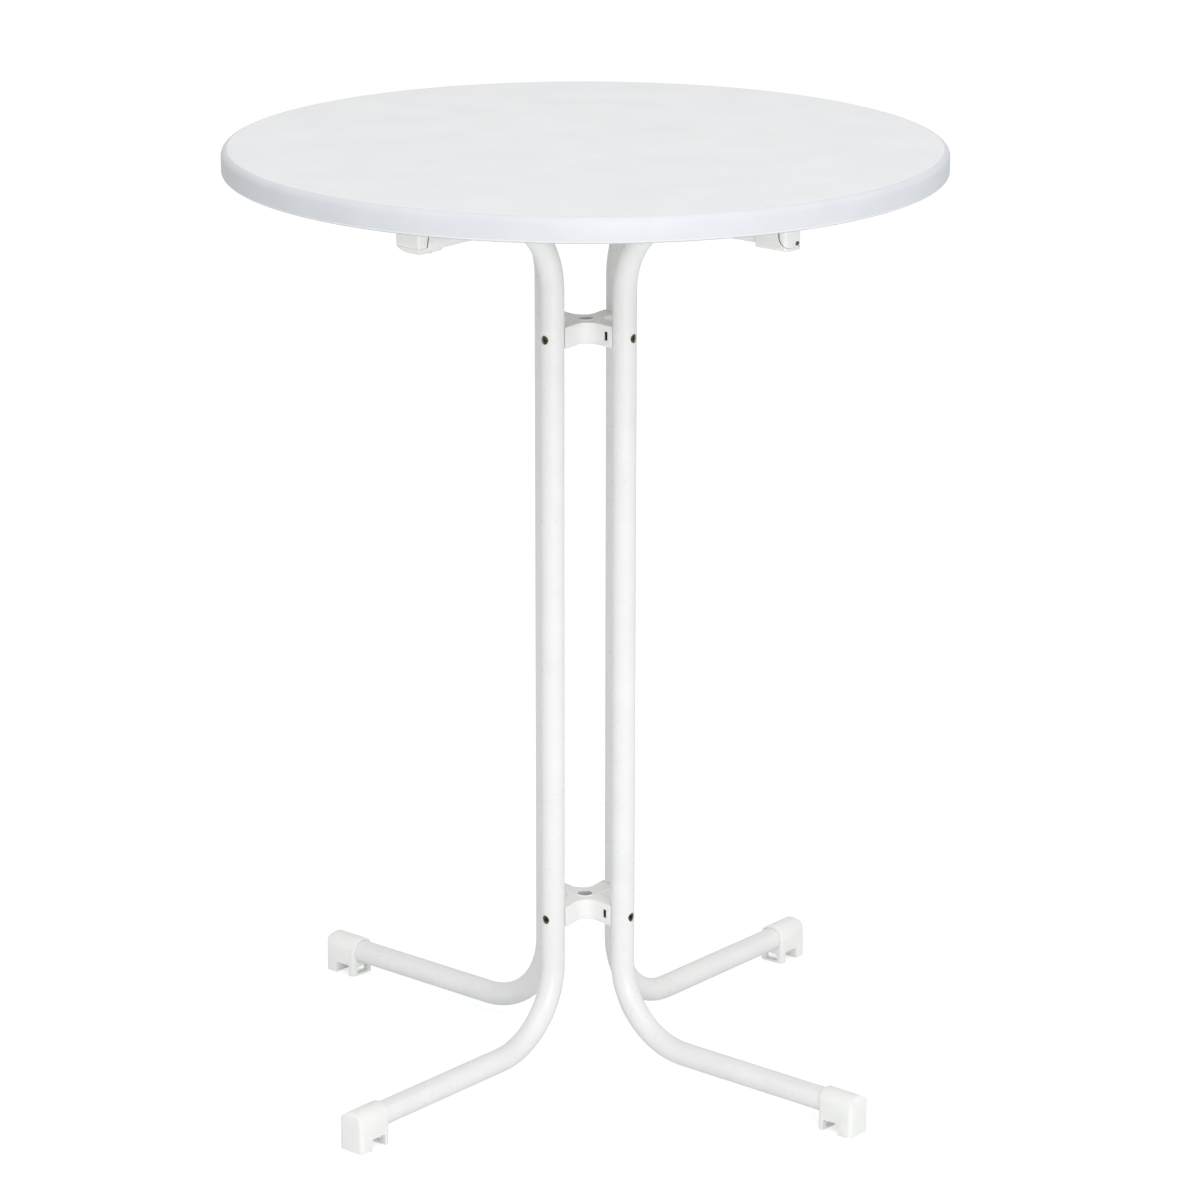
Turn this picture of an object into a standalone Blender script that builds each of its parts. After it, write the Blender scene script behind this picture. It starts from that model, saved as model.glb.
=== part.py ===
"""White bar table: a round top that tilts on four bent tubes.

Four equal tubes stand in a square column.  Each bends outwards at both ends: the lower arms end in
moulded feet, the upper arms in moulded sleeves.  Two four-armed connectors bolt the column together.
The top rests in the four sleeves through brackets screwed to its underside.  The two brackets on the
right are hinged on pins, the two on the left lift out of their seats when the top is tilted.
Metres, +Z up, origin on the floor at the centre, legs at 45 degrees to X and Y.
"""
import math

import bmesh
import bpy
from mathutils import Matrix, Vector

# Overall sizes
TABLE_HEIGHT = 1.100
TOP_DIAMETER = 0.824
TOP_THICKNESS = 0.029
TOP_EDGE_RADIUS = 0.006
TOP_LOWER_RADIUS = 0.0045

# Tubes
TUBE_DIAMETER = 0.028
TUBE_WALL = 0.0015
BEND_RADIUS = 0.095
COLUMN_RADIUS = 0.0585
UPPER_ARM_DROP = 0.0369
LOWER_ARM_HEIGHT = 0.0305

# Column connectors and their bolts
CONNECTOR_HEIGHT = 0.025
UPPER_CONNECTOR_DROP = 0.1865
LOWER_CONNECTOR_CENTRE = 0.183
CONNECTOR_WAIST = 0.021
CONNECTOR_CROTCH_RADIUS = 0.016
CONNECTOR_HORN_WRAP = 0.0055
CONNECTOR_HORN_HALF_WIDTH = 0.0136
CONNECTOR_HOLE = 0.0175
CONNECTOR_RING_WIDTH = 0.0022
CONNECTOR_RING_HEIGHT = 0.0010
BOLT_DIAMETER = 0.006
BOLT_HEAD_DIAMETER = 0.009
BOLT_HEAD_SUNK = 0.0015
BOLT_ACCESS_GAP = 0.0008
BOLT_SOCKET = 0.005
BOLT_SOCKET_DEPTH = 0.003
BOLT_PAST_NUT = 0.0015
NUT_WIDTH = 0.010
NUT_THICKNESS = 0.005
NUT_BEYOND_BOLT = 0.0055
NUT_BELOW_FLANK = 0.0012
NUT_FROM_TUBE = 0.0012

# Feet
FOOT_REACH = 0.4115
FOOT_LENGTH = 0.047
FOOT_WALL = 0.003
FOOT_END_WALL = 0.007
FOOT_CORNER_RADIUS = 0.005
FOOT_CROWN_RADIUS = 0.0055
FOOT_INNER_LEG = 0.0075
FOOT_OUTER_LEG = 0.0175
FOOT_NOTCH_HEIGHT = 0.0140
FOOT_NOTCH_RADIUS = 0.003
FOOT_PORTAL_WIDTH = 0.019
FOOT_PORTAL_SILL = 0.0025
FOOT_PORTAL_TOP = 0.0115

# Sleeves on the upper arms
SLEEVE_REACH = 0.301
SLEEVE_LENGTH = 0.044
SLEEVE_WALL = 0.0037
SLEEVE_FLOOR = 0.0012
LATCH_SLEEVE_ROUND = 0.016
LATCH_SLEEVE_CROWN = 0.018
HINGE_SLEEVE_ROUND = 0.005
SLEEVE_CORNER_RADIUS = 0.0045
LATCH_SEAT_FLOOR = 0.0095
HINGE_SEAT_FLOOR = 0.0033
SEAT_WALL = 0.003
LATCH_SEAT_LENGTH = 0.0135
HINGE_SEAT_WIDTH = 0.0259
SEAT_LEAN = 0.0032
SEAT_GAP = 0.0012
SLEEVE_SCREW_FROM_MOUTH = 0.0085
SLEEVE_SCREW_DIAMETER = 0.0036
SLEEVE_SCREW_HEAD = 0.0076
SLEEVE_SCREW_HEAD_HEIGHT = 0.0020
SLEEVE_SCREW_REACH = 0.0035

# Brackets under the top
FLANGE_THICKNESS = 0.004
FLANGE_INWARD = 0.040
FLANGE_OUTWARD = 0.014
FLANGE_WIDTH = 0.048
FLANGE_CORNER_RADIUS = 0.006
BRACKET_ROUND = 0.0125
GRIP_RIB_WIDTH = 0.0025
GRIP_RIB_SPACING = 0.018
TOP_SCREW_DIAMETER = 0.004
TOP_SCREW_HEAD = 0.008
TOP_SCREW_HEAD_HEIGHT = 0.0024
TOP_SCREW_DEPTH = 0.015
TOP_SCREW_EDGE = 0.0065

# Hinge
HINGE_AXIS_BEYOND_ARM = 0.0025
KNUCKLE_RADIUS = 0.0036
HINGE_PIN_DIAMETER = 0.0044
EAR_THICKNESS = 0.007
PIN_END_RECESS = 0.0018
PIN_IN_EAR = 0.0035

# Clearances
GAP = 0.0003
HOLE_GAP = 0.0003
NUT_POCKET_GAP = 0.0003
OVERRUN = 0.010

# Facets
TOP_SEGMENTS = 92
TUBE_SIDES = 18
BORE_SIDES = 10
BEND_STEPS = 7
CORNER_STEPS = 3
ARCH_STEPS = 12
SMALL_SIDES = 8

# Places worked out from the sizes
TUBE_RADIUS = TUBE_DIAMETER / 2
UNDERSIDE_Z = TABLE_HEIGHT - TOP_THICKNESS
UPPER_ARM_Z = UNDERSIDE_Z - UPPER_ARM_DROP
SLEEVE_BORE_RADIUS = TUBE_RADIUS + GAP
SLEEVE_HALF_WIDTH = SLEEVE_BORE_RADIUS + SLEEVE_WALL
SLEEVE_BOTTOM_Z = UPPER_ARM_Z - SLEEVE_BORE_RADIUS - SLEEVE_FLOOR
SLEEVE_TOP_Z = UPPER_ARM_Z + SLEEVE_HALF_WIDTH
LATCH_SEAT_Z = SLEEVE_BOTTOM_Z + LATCH_SEAT_FLOOR
HINGE_SEAT_Z = SLEEVE_BOTTOM_Z + HINGE_SEAT_FLOOR
LOWER_ARM_REACH = FOOT_REACH - FOOT_END_WALL - GAP
HINGE_AXIS_Z = HINGE_SEAT_Z + GAP + KNUCKLE_RADIUS
HINGE_AXIS_X = SLEEVE_REACH / math.sqrt(2) + HINGE_AXIS_BEYOND_ARM
HINGE_SIDE_X = HINGE_AXIS_X + KNUCKLE_RADIUS
HINGE_WALL_X = HINGE_SIDE_X - HINGE_SEAT_WIDTH
HINGE_EAR_FACE = HINGE_AXIS_X - SLEEVE_HALF_WIDTH * math.sqrt(2) + EAR_THICKNESS
HINGE_OUTER_END = SLEEVE_REACH * math.sqrt(2) - HINGE_AXIS_X
UPPER_ARM_REACH = min(
    SLEEVE_REACH - LATCH_SEAT_LENGTH - SEAT_LEAN - SEAT_WALL,
    (HINGE_WALL_X + HINGE_EAR_FACE) / math.sqrt(2) - SEAT_WALL,
)
FLANGE_TOP_Z = UNDERSIDE_Z - GAP
FLANGE_BOTTOM_Z = FLANGE_TOP_Z - FLANGE_THICKNESS
CONNECTOR_CENTRES = {
    "upper": UNDERSIDE_Z - UPPER_CONNECTOR_DROP,
    "lower": LOWER_CONNECTOR_CENTRE,
}

# Leg directions: the angle of each leg from +X, seen from above
LEG_ANGLES = {
    "front_left": math.radians(-135),
    "front_right": math.radians(-45),
    "rear_right": math.radians(45),
    "rear_left": math.radians(135),
}
HINGED = ("front_right", "rear_right")
LATCHED = ("front_left", "rear_left")


def clear_scene():
    for obj in list(bpy.data.objects):
        bpy.data.objects.remove(obj, do_unlink=True)


def material(name, colour, roughness, metallic=0.0):
    found = bpy.data.materials.get(name)
    if found:
        return found
    made = bpy.data.materials.new(name)
    made.use_nodes = True
    shader = made.node_tree.nodes["Principled BSDF"]
    shader.inputs["Base Color"].default_value = (*colour, 1.0)
    shader.inputs["Roughness"].default_value = roughness
    shader.inputs["Metallic"].default_value = metallic
    return made


def laminate_white():
    return material("white laminate", (0.80, 0.81, 0.83), 0.38)


def powder_white():
    return material("white powder coat", (0.86, 0.87, 0.86), 0.28)


def plastic_white():
    return material("white moulded plastic", (0.80, 0.81, 0.79), 0.40)


def zinc_yellow():
    return material("yellow zinc steel", (0.55, 0.40, 0.16), 0.35, 1.0)


def zinc_plain():
    return material("plain zinc steel", (0.60, 0.61, 0.62), 0.35, 1.0)


def steel_black():
    return material("blackened steel", (0.02, 0.02, 0.02), 0.45, 1.0)


def solid(name, bm, paint=None, smooth_angle=32):
    """Turns a bmesh into an object with outward faces; without a paint it is a hidden cutter."""
    bm.normal_update()
    bmesh.ops.recalc_face_normals(bm, faces=bm.faces[:])
    mesh = bpy.data.meshes.new(name)
    bm.to_mesh(mesh)
    bm.free()
    obj = bpy.data.objects.new(name, mesh)
    bpy.context.scene.collection.objects.link(obj)
    if paint is None:
        obj.hide_render = True
        obj.display_type = "WIRE"
        return obj
    mesh.materials.append(paint)
    mesh.shade_smooth()
    mesh.set_sharp_from_angle(angle=math.radians(smooth_angle))
    return obj


def combine(obj, other, operation):
    step = obj.modifiers.new(f"{operation.lower()} {other.name}", "BOOLEAN")
    step.operation = operation
    step.solver = "EXACT"
    step.object = other


def cut(obj, *tools):
    for tool in tools:
        combine(obj, tool, "DIFFERENCE")


def turn(obj, angle):
    """Turns an object built along +X into its leg's direction."""
    obj.rotation_euler = (0, 0, angle)
    return obj


def prism(outline, low, high, frame=None):
    """A closed outline in the frame's XY plane, extruded along the frame's Z from low to high."""
    bm = bmesh.new()
    face = bm.faces.new([bm.verts.new((x, y, low)) for x, y in outline])
    raised = bmesh.ops.extrude_face_region(bm, geom=[face])
    moved = [item for item in raised["geom"] if isinstance(item, bmesh.types.BMVert)]
    bmesh.ops.translate(bm, verts=moved, vec=(0, 0, high - low))
    if frame is not None:
        bm.transform(frame)
    return bm


def side_frame():
    """Outline X runs along +X and outline Y up; the extrusion runs along -Y."""
    return Matrix.Rotation(math.radians(90), 4, "X")


def front_frame():
    """Outline X runs along +Y and outline Y up; the extrusion runs along +X."""
    return Matrix(((0, 0, 1, 0), (1, 0, 0, 0), (0, 1, 0, 0), (0, 0, 0, 1)))


def cylinder(radius, low, high, sides, frame=None):
    return prism(circle((0, 0), radius, sides), low, high, frame)


def along_x(z):
    """A frame whose Z runs along +X at height z."""
    return Matrix.Translation((0, 0, z)) @ front_frame()


def arc(centre, radius, start, end, steps):
    """Points on an arc, angles in degrees."""
    points = []
    for step in range(steps + 1):
        angle = math.radians(start + (end - start) * step / steps)
        points.append((centre[0] + radius * math.cos(angle), centre[1] + radius * math.sin(angle)))
    return points


def circle(centre, radius, sides):
    return arc(centre, radius, 0, 360 - 360 / sides, sides - 1)


def rounded_rectangle(x0, x1, y0, y1, radius, steps=CORNER_STEPS):
    outline = []
    outline += arc((x1 - radius, y0 + radius), radius, -90, 0, steps)
    outline += arc((x1 - radius, y1 - radius), radius, 0, 90, steps)
    outline += arc((x0 + radius, y1 - radius), radius, 90, 180, steps)
    outline += arc((x0 + radius, y0 + radius), radius, 180, 270, steps)
    return outline


def join(first, second):
    """Adds the geometry of the second bmesh to the first."""
    mesh = bpy.data.meshes.new("joined")
    second.to_mesh(mesh)
    second.free()
    first.from_mesh(mesh)
    bpy.data.meshes.remove(mesh)
    return first


def turned(profile, segments):
    """A solid of revolution about Z; the profile runs from the axis to the axis."""
    bm = bmesh.new()
    rings = []
    for radius, z in profile:
        if radius == 0:
            rings.append([bm.verts.new((0, 0, z))])
            continue
        ring = circle((0, 0), radius, segments)
        rings.append([bm.verts.new((x, y, z)) for x, y in ring])
    for lower, upper in zip(rings, rings[1:]):
        for side in range(segments):
            after = (side + 1) % segments
            corners = [lower[side % len(lower)], lower[after % len(lower)]]
            corners += [upper[after % len(upper)], upper[side % len(upper)]]
            bm.faces.new(list(dict.fromkeys(corners)))
    return bm


def leg_path(overrun=0):
    """The centre line of a leg in its own upright plane, from the foot to the sleeve."""
    bend_low = (COLUMN_RADIUS + BEND_RADIUS, LOWER_ARM_HEIGHT + BEND_RADIUS)
    bend_high = (COLUMN_RADIUS + BEND_RADIUS, UPPER_ARM_Z - BEND_RADIUS)
    path = [(LOWER_ARM_REACH + overrun, LOWER_ARM_HEIGHT)]
    path += arc(bend_low, BEND_RADIUS, 270, 180, BEND_STEPS)
    path += arc(bend_high, BEND_RADIUS, 180, 90, BEND_STEPS)
    path.append((UPPER_ARM_REACH + overrun, UPPER_ARM_Z))
    return path


def swept(path, radius, sides):
    """A round bar along a path in the XZ plane, closed at both ends."""
    bm = bmesh.new()
    points = [Vector((x, 0, z)) for x, z in path]
    rings = []
    for index, point in enumerate(points):
        before = points[max(index - 1, 0)]
        after = points[min(index + 1, len(points) - 1)]
        into = (point - before).normalized() if point != before else (after - point).normalized()
        out = (after - point).normalized() if after != point else into
        tangent = (into + out).normalized()
        stretch = 1 / max(tangent.dot(into), math.cos(math.radians(45)))
        across = tangent.cross(Vector((0, 1, 0))).normalized() * stretch
        ring = []
        for side in range(sides):
            angle = 2 * math.pi * (side + 0.5) / sides
            spoke = across * math.cos(angle) + Vector((0, 1, 0)) * math.sin(angle)
            ring.append(bm.verts.new(point + spoke * radius))
        rings.append(ring)
    for lower, upper in zip(rings, rings[1:]):
        for side in range(sides):
            after = (side + 1) % sides
            bm.faces.new((lower[side], lower[after], upper[after], upper[side]))
    bm.faces.new(rings[0][::-1])
    bm.faces.new(rings[-1])
    return bm


def bolt_holes():
    """Cutters for one leg: wide holes in the outer wall for the heads, narrow ones in the inner wall."""
    wide = BOLT_HEAD_DIAMETER / 2 + BOLT_ACCESS_GAP
    narrow = BOLT_DIAMETER / 2 + HOLE_GAP
    outside = COLUMN_RADIUS + TUBE_RADIUS + OVERRUN
    inside = COLUMN_RADIUS - TUBE_RADIUS - OVERRUN
    bm = bmesh.new()
    for centre in CONNECTOR_CENTRES.values():
        join(bm, cylinder(wide, COLUMN_RADIUS, outside, SMALL_SIDES, along_x(centre)))
        join(bm, cylinder(narrow, inside, COLUMN_RADIUS - HOLE_GAP, SMALL_SIDES, along_x(centre)))
    return bm


def sleeve_screw_x():
    return SLEEVE_REACH - SLEEVE_LENGTH + SLEEVE_SCREW_FROM_MOUTH


def leg(name, angle):
    obj = turn(solid(f"leg_{name}", swept(leg_path(), TUBE_RADIUS, TUBE_SIDES), powder_white()), angle)
    bore_radius = TUBE_RADIUS - TUBE_WALL
    bore = turn(solid(f"cut_bore_{name}", swept(leg_path(OVERRUN), bore_radius, BORE_SIDES)), angle)
    holes = turn(solid(f"cut_bolt_holes_{name}", bolt_holes()), angle)
    screw_hole = Matrix.Translation((sleeve_screw_x(), 0, 0))
    radius = SLEEVE_SCREW_DIAMETER / 2 + HOLE_GAP
    low = UPPER_ARM_Z - TUBE_RADIUS - OVERRUN
    pilot = cylinder(radius, low, UPPER_ARM_Z, SMALL_SIDES, screw_hole)
    cut(obj, bore, holes, turn(solid(f"cut_pilot_{name}", pilot), angle))
    return obj


def tangent_angle(point, centre, radius, sign):
    """The angle on a circle, in degrees, where a line from an outside point touches it."""
    dx = point[0] - centre[0]
    dy = point[1] - centre[1]
    spread = math.acos(radius / math.hypot(dx, dy))
    return math.degrees(math.atan2(dy, dx) + sign * spread)


def connector_outline():
    """Four saddles that fit the tubes, joined by straight flanks and round crotches."""
    saddle = TUBE_RADIUS + GAP
    horn_radial = COLUMN_RADIUS - TUBE_RADIUS + CONNECTOR_HORN_WRAP
    horn_half = CONNECTOR_HORN_HALF_WIDTH
    depth = COLUMN_RADIUS - horn_radial
    lip = math.sqrt(saddle ** 2 - depth ** 2)
    crotch = CONNECTOR_WAIST + CONNECTOR_CROTCH_RADIUS
    spread = math.degrees(math.asin(lip / saddle))
    diagonal = math.sqrt(0.5)
    right_horn = ((horn_radial - horn_half) * diagonal, (horn_radial + horn_half) * diagonal)
    first = tangent_angle(right_horn, (0, crotch), CONNECTOR_CROTCH_RADIUS, -1)
    outline = []
    for quarter in range(4):
        turned_by = math.radians(90 * quarter)
        arm = arc((COLUMN_RADIUS * diagonal, COLUMN_RADIUS * diagonal), saddle, 225 - spread, 225 + spread, 6)
        arm = arm[::-1]
        points = [((horn_radial + horn_half) * diagonal, (horn_radial - horn_half) * diagonal)]
        points += arm
        points.append(right_horn)
        points += arc((0, crotch), CONNECTOR_CROTCH_RADIUS, first, -180 - first, 6)
        for x, y in points:
            outline.append((
                x * math.cos(turned_by) - y * math.sin(turned_by),
                x * math.sin(turned_by) + y * math.cos(turned_by),
            ))
    return outline


def bolt_seat():
    """Where a bolt's head meets the round inner wall of its tube."""
    inner_wall = (TUBE_RADIUS - TUBE_WALL) * math.cos(math.pi / BORE_SIDES)
    return COLUMN_RADIUS - math.sqrt(inner_wall ** 2 - (BOLT_HEAD_DIAMETER / 2) ** 2) + GAP


def nut_centre():
    return COLUMN_RADIUS - TUBE_RADIUS - GAP - NUT_FROM_TUBE - NUT_THICKNESS / 2


def connector(level):
    centre = CONNECTOR_CENTRES[level]
    low = centre - CONNECTOR_HEIGHT / 2
    high = centre + CONNECTOR_HEIGHT / 2
    obj = solid(f"{level}_leg_connector", prism(connector_outline(), low, high), plastic_white())
    ring_radius = CONNECTOR_HOLE / 2 + CONNECTOR_RING_WIDTH
    ring = solid(f"add_ring_{level}", cylinder(ring_radius, centre, high + CONNECTOR_RING_HEIGHT, TUBE_SIDES))
    combine(obj, ring, "UNION")
    hole = cylinder(CONNECTOR_HOLE / 2, low - OVERRUN, high + OVERRUN, TUBE_SIDES)
    cut(obj, solid(f"cut_hole_{level}", hole))
    shank = bmesh.new()
    pockets = bmesh.new()
    pocket_half = NUT_WIDTH / 2 + NUT_POCKET_GAP
    pocket_end = NUT_BEYOND_BOLT + NUT_POCKET_GAP
    flank = CONNECTOR_HORN_HALF_WIDTH + OVERRUN
    for angle in LEG_ANGLES.values():
        spin = Matrix.Rotation(angle, 4, "Z")
        start = nut_centre() - NUT_THICKNESS / 2 - NUT_POCKET_GAP - BOLT_PAST_NUT
        radius = BOLT_DIAMETER / 2 + HOLE_GAP
        join(shank, cylinder(radius, start, COLUMN_RADIUS, SMALL_SIDES, spin @ along_x(centre)))
        x0 = nut_centre() - NUT_THICKNESS / 2 - NUT_POCKET_GAP
        x1 = nut_centre() + NUT_THICKNESS / 2 + NUT_POCKET_GAP
        box = rounded_rectangle(-flank, pocket_end, centre - pocket_half, centre + pocket_half, GAP, 1)
        join(pockets, prism(box, x0, x1, spin @ front_frame()))
    cut(obj, solid(f"cut_shanks_{level}", shank), solid(f"cut_pockets_{level}", pockets))
    return obj


def bolt(level, name, angle):
    """Sleeve bolt: its long head goes in at the outer wall and bears on the inner one."""
    seat = bolt_seat()
    head_top = COLUMN_RADIUS + TUBE_RADIUS - BOLT_HEAD_SUNK
    tip = nut_centre() - NUT_THICKNESS / 2 - BOLT_PAST_NUT
    floor = head_top - BOLT_SOCKET_DEPTH
    profile = [(0, tip), (BOLT_DIAMETER / 2, tip), (BOLT_DIAMETER / 2, seat)]
    profile += [(BOLT_HEAD_DIAMETER / 2, seat), (BOLT_HEAD_DIAMETER / 2, head_top), (0, head_top)]
    bm = turned(profile, SMALL_SIDES)
    bm.transform(along_x(CONNECTOR_CENTRES[level]))
    obj = turn(solid(f"bolt_{level}_{name}", bm, zinc_yellow()), angle)
    key = BOLT_SOCKET / math.sqrt(3)
    socket = cylinder(key, floor, head_top + OVERRUN, 6, along_x(CONNECTOR_CENTRES[level]))
    cut(obj, turn(solid(f"cut_socket_{level}_{name}", socket), angle))
    return obj


def flank_at(radial):
    """Half the width of a connector's arm at a distance from the column's axis."""
    horn = (COLUMN_RADIUS - TUBE_RADIUS + CONNECTOR_HORN_WRAP, CONNECTOR_HORN_HALF_WIDTH)
    diagonal = math.sqrt(0.5) * (CONNECTOR_WAIST + CONNECTOR_CROTCH_RADIUS)
    along = diagonal - horn[0]
    aside = diagonal - horn[1]
    slope = math.atan2(aside, along) + math.asin(CONNECTOR_CROTCH_RADIUS / math.hypot(along, aside))
    return horn[1] + (radial - horn[0]) * math.tan(slope)


def nut(level, name, angle):
    """Plate nut, slid into its pocket from the side of the connector's arm."""
    low = nut_centre() - NUT_THICKNESS / 2
    high = nut_centre() + NUT_THICKNESS / 2
    centre = CONNECTOR_CENTRES[level]
    near = NUT_BELOW_FLANK - flank_at(low)
    bottom = centre - NUT_WIDTH / 2
    top = centre + NUT_WIDTH / 2
    plate = [(near, bottom), (NUT_BEYOND_BOLT, bottom), (NUT_BEYOND_BOLT, top), (near, top)]
    obj = solid(f"nut_{level}_{name}", prism(plate, low, high, front_frame()), steel_black())
    turn(obj, angle)
    radius = BOLT_DIAMETER / 2 + HOLE_GAP
    hole = cylinder(radius, low - OVERRUN, high + OVERRUN, SMALL_SIDES, along_x(centre))
    cut(obj, turn(solid(f"cut_thread_{level}_{name}", hole), angle))
    return obj


def tombstone(half_width, low, axis_z):
    """Upright section with square foot and round crown about the tube's axis."""
    outline = [(-half_width, low), (half_width, low)]
    outline += arc((0, axis_z), half_width, 0, 180, ARCH_STEPS)
    return outline


def foot_side():
    """Side view of a foot: notched below, crown rounded at the outer end."""
    inner = FOOT_REACH - FOOT_LENGTH
    top = LOWER_ARM_HEIGHT + TUBE_RADIUS + GAP + FOOT_WALL + OVERRUN
    crown = top - OVERRUN
    notch_in = inner + FOOT_INNER_LEG
    notch_out = FOOT_REACH - FOOT_OUTER_LEG
    radius = FOOT_NOTCH_RADIUS
    outline = [(inner, 0), (notch_in, 0)]
    outline += arc((notch_in + radius, FOOT_NOTCH_HEIGHT - radius), radius, 180, 90, CORNER_STEPS)
    outline += arc((notch_out - radius, FOOT_NOTCH_HEIGHT - radius), radius, 90, 0, CORNER_STEPS)
    outline += [(notch_out, 0), (FOOT_REACH, 0)]
    centre = (FOOT_REACH - FOOT_CROWN_RADIUS, crown - FOOT_CROWN_RADIUS)
    outline += arc(centre, FOOT_CROWN_RADIUS, 0, 90, CORNER_STEPS)
    outline += [(inner, crown)]
    return outline


def foot(name, angle):
    bore_radius = TUBE_RADIUS + GAP
    half = bore_radius + FOOT_WALL
    inner = FOOT_REACH - FOOT_LENGTH
    side = prism(foot_side(), -half - OVERRUN, half + OVERRUN, side_frame())
    obj = turn(solid(f"foot_{name}", side, plastic_white()), angle)
    outline = tombstone(half, -OVERRUN, LOWER_ARM_HEIGHT)
    section = prism(outline, inner - OVERRUN, FOOT_REACH + OVERRUN, front_frame())
    combine(obj, turn(solid(f"keep_section_{name}", section), angle), "INTERSECT")
    plan = rounded_rectangle(inner, FOOT_REACH, -half, half, FOOT_CORNER_RADIUS)
    block = prism(plan, -OVERRUN, LOWER_ARM_HEIGHT + half + OVERRUN)
    combine(obj, turn(solid(f"keep_plan_{name}", block), angle), "INTERSECT")
    end = FOOT_REACH - FOOT_END_WALL
    bore = cylinder(bore_radius, inner - OVERRUN, end, TUBE_SIDES, along_x(LOWER_ARM_HEIGHT))
    reach = FOOT_PORTAL_WIDTH / 2
    portal = rounded_rectangle(-reach, reach, FOOT_PORTAL_SILL, FOOT_PORTAL_TOP, FOOT_NOTCH_RADIUS / 2)
    opening = prism(portal, inner - OVERRUN, inner + FOOT_INNER_LEG + OVERRUN / 2, front_frame())
    cut(obj, turn(solid(f"cut_foot_bore_{name}", bore), angle))
    cut(obj, turn(solid(f"cut_portal_{name}", opening), angle))
    return obj


def sleeve_plan():
    inner = SLEEVE_REACH - SLEEVE_LENGTH
    half = SLEEVE_HALF_WIDTH
    return rounded_rectangle(inner, SLEEVE_REACH, -half, half, SLEEVE_CORNER_RADIUS)


def sleeve_section(radius, arched):
    """Section of a sleeve: lower edges rounded, sides upright, closed by an arch or carried straight up."""
    half = SLEEVE_HALF_WIDTH
    radius = min(radius, UPPER_ARM_Z - SLEEVE_BOTTOM_Z - GAP)
    outline = arc((radius - half, SLEEVE_BOTTOM_Z + radius), radius, 180, 270, CORNER_STEPS)
    outline += arc((half - radius, SLEEVE_BOTTOM_Z + radius), radius, 270, 360, CORNER_STEPS)
    if arched:
        return outline + arc((0, UPPER_ARM_Z), half, 0, 180, ARCH_STEPS)
    return outline + [(half, UNDERSIDE_Z), (-half, UNDERSIDE_Z)]


def sleeve_crown():
    """Side view of a latch sleeve and its catch, the outer lower edge rounded."""
    inner = SLEEVE_REACH - SLEEVE_LENGTH - OVERRUN
    radius = LATCH_SLEEVE_CROWN
    outline = [(inner, SLEEVE_BOTTOM_Z - OVERRUN), (SLEEVE_REACH - radius, SLEEVE_BOTTOM_Z - OVERRUN)]
    outline += arc((SLEEVE_REACH - radius, SLEEVE_BOTTOM_Z + radius), radius, 270, 360, CORNER_STEPS * 2)
    outline += [(SLEEVE_REACH, UNDERSIDE_Z), (inner, UNDERSIDE_Z)]
    return outline


def latch_side(clearance, top):
    """Side view of a latch seat; a clearance draws the bracket's block that stands in it."""
    wall = SLEEVE_REACH - LATCH_SEAT_LENGTH + clearance
    rise = top - LATCH_SEAT_Z
    lean = SEAT_LEAN * rise / (SLEEVE_TOP_Z - LATCH_SEAT_Z)
    low = LATCH_SEAT_Z + (GAP if clearance else 0)
    return [(wall, low), (SLEEVE_REACH + OVERRUN, low), (SLEEVE_REACH + OVERRUN, top), (wall - lean, top)]


def hinge_seat_side():
    """View along the hinge axis of the sleeve's seat, with its round inner lower corner."""
    radius = BRACKET_ROUND + SEAT_GAP - GAP
    outline = arc((HINGE_WALL_X + radius, HINGE_SEAT_Z + radius), radius, 180, 270, CORNER_STEPS * 2)
    outline += [(SLEEVE_REACH, HINGE_SEAT_Z), (SLEEVE_REACH, SLEEVE_TOP_Z + OVERRUN)]
    outline += [(HINGE_WALL_X, SLEEVE_TOP_Z + OVERRUN)]
    return outline


def hinge_bracket_side(top):
    """View along the hinge axis of the bracket's block, round about the pin at its lower right."""
    wall = HINGE_WALL_X + SEAT_GAP
    low = HINGE_SEAT_Z + GAP
    outline = arc((wall + BRACKET_ROUND, low + BRACKET_ROUND), BRACKET_ROUND, 180, 270, CORNER_STEPS * 2)
    outline += arc((HINGE_AXIS_X, HINGE_AXIS_Z), KNUCKLE_RADIUS, -90, 0, CORNER_STEPS * 2)
    outline += [(HINGE_SIDE_X, top), (wall, top)]
    return outline


def hinge_prism(outline, near, far, name):
    """An outline in the XZ plane between two distances from the XZ plane, on the named leg's side."""
    if math.sin(LEG_ANGLES[name]) > 0:
        return prism(outline, -far, -near, side_frame())
    return prism(outline, near, far, side_frame())


def pin_outline(radius):
    return circle((HINGE_AXIS_X, HINGE_AXIS_Z), radius, SMALL_SIDES)


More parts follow.
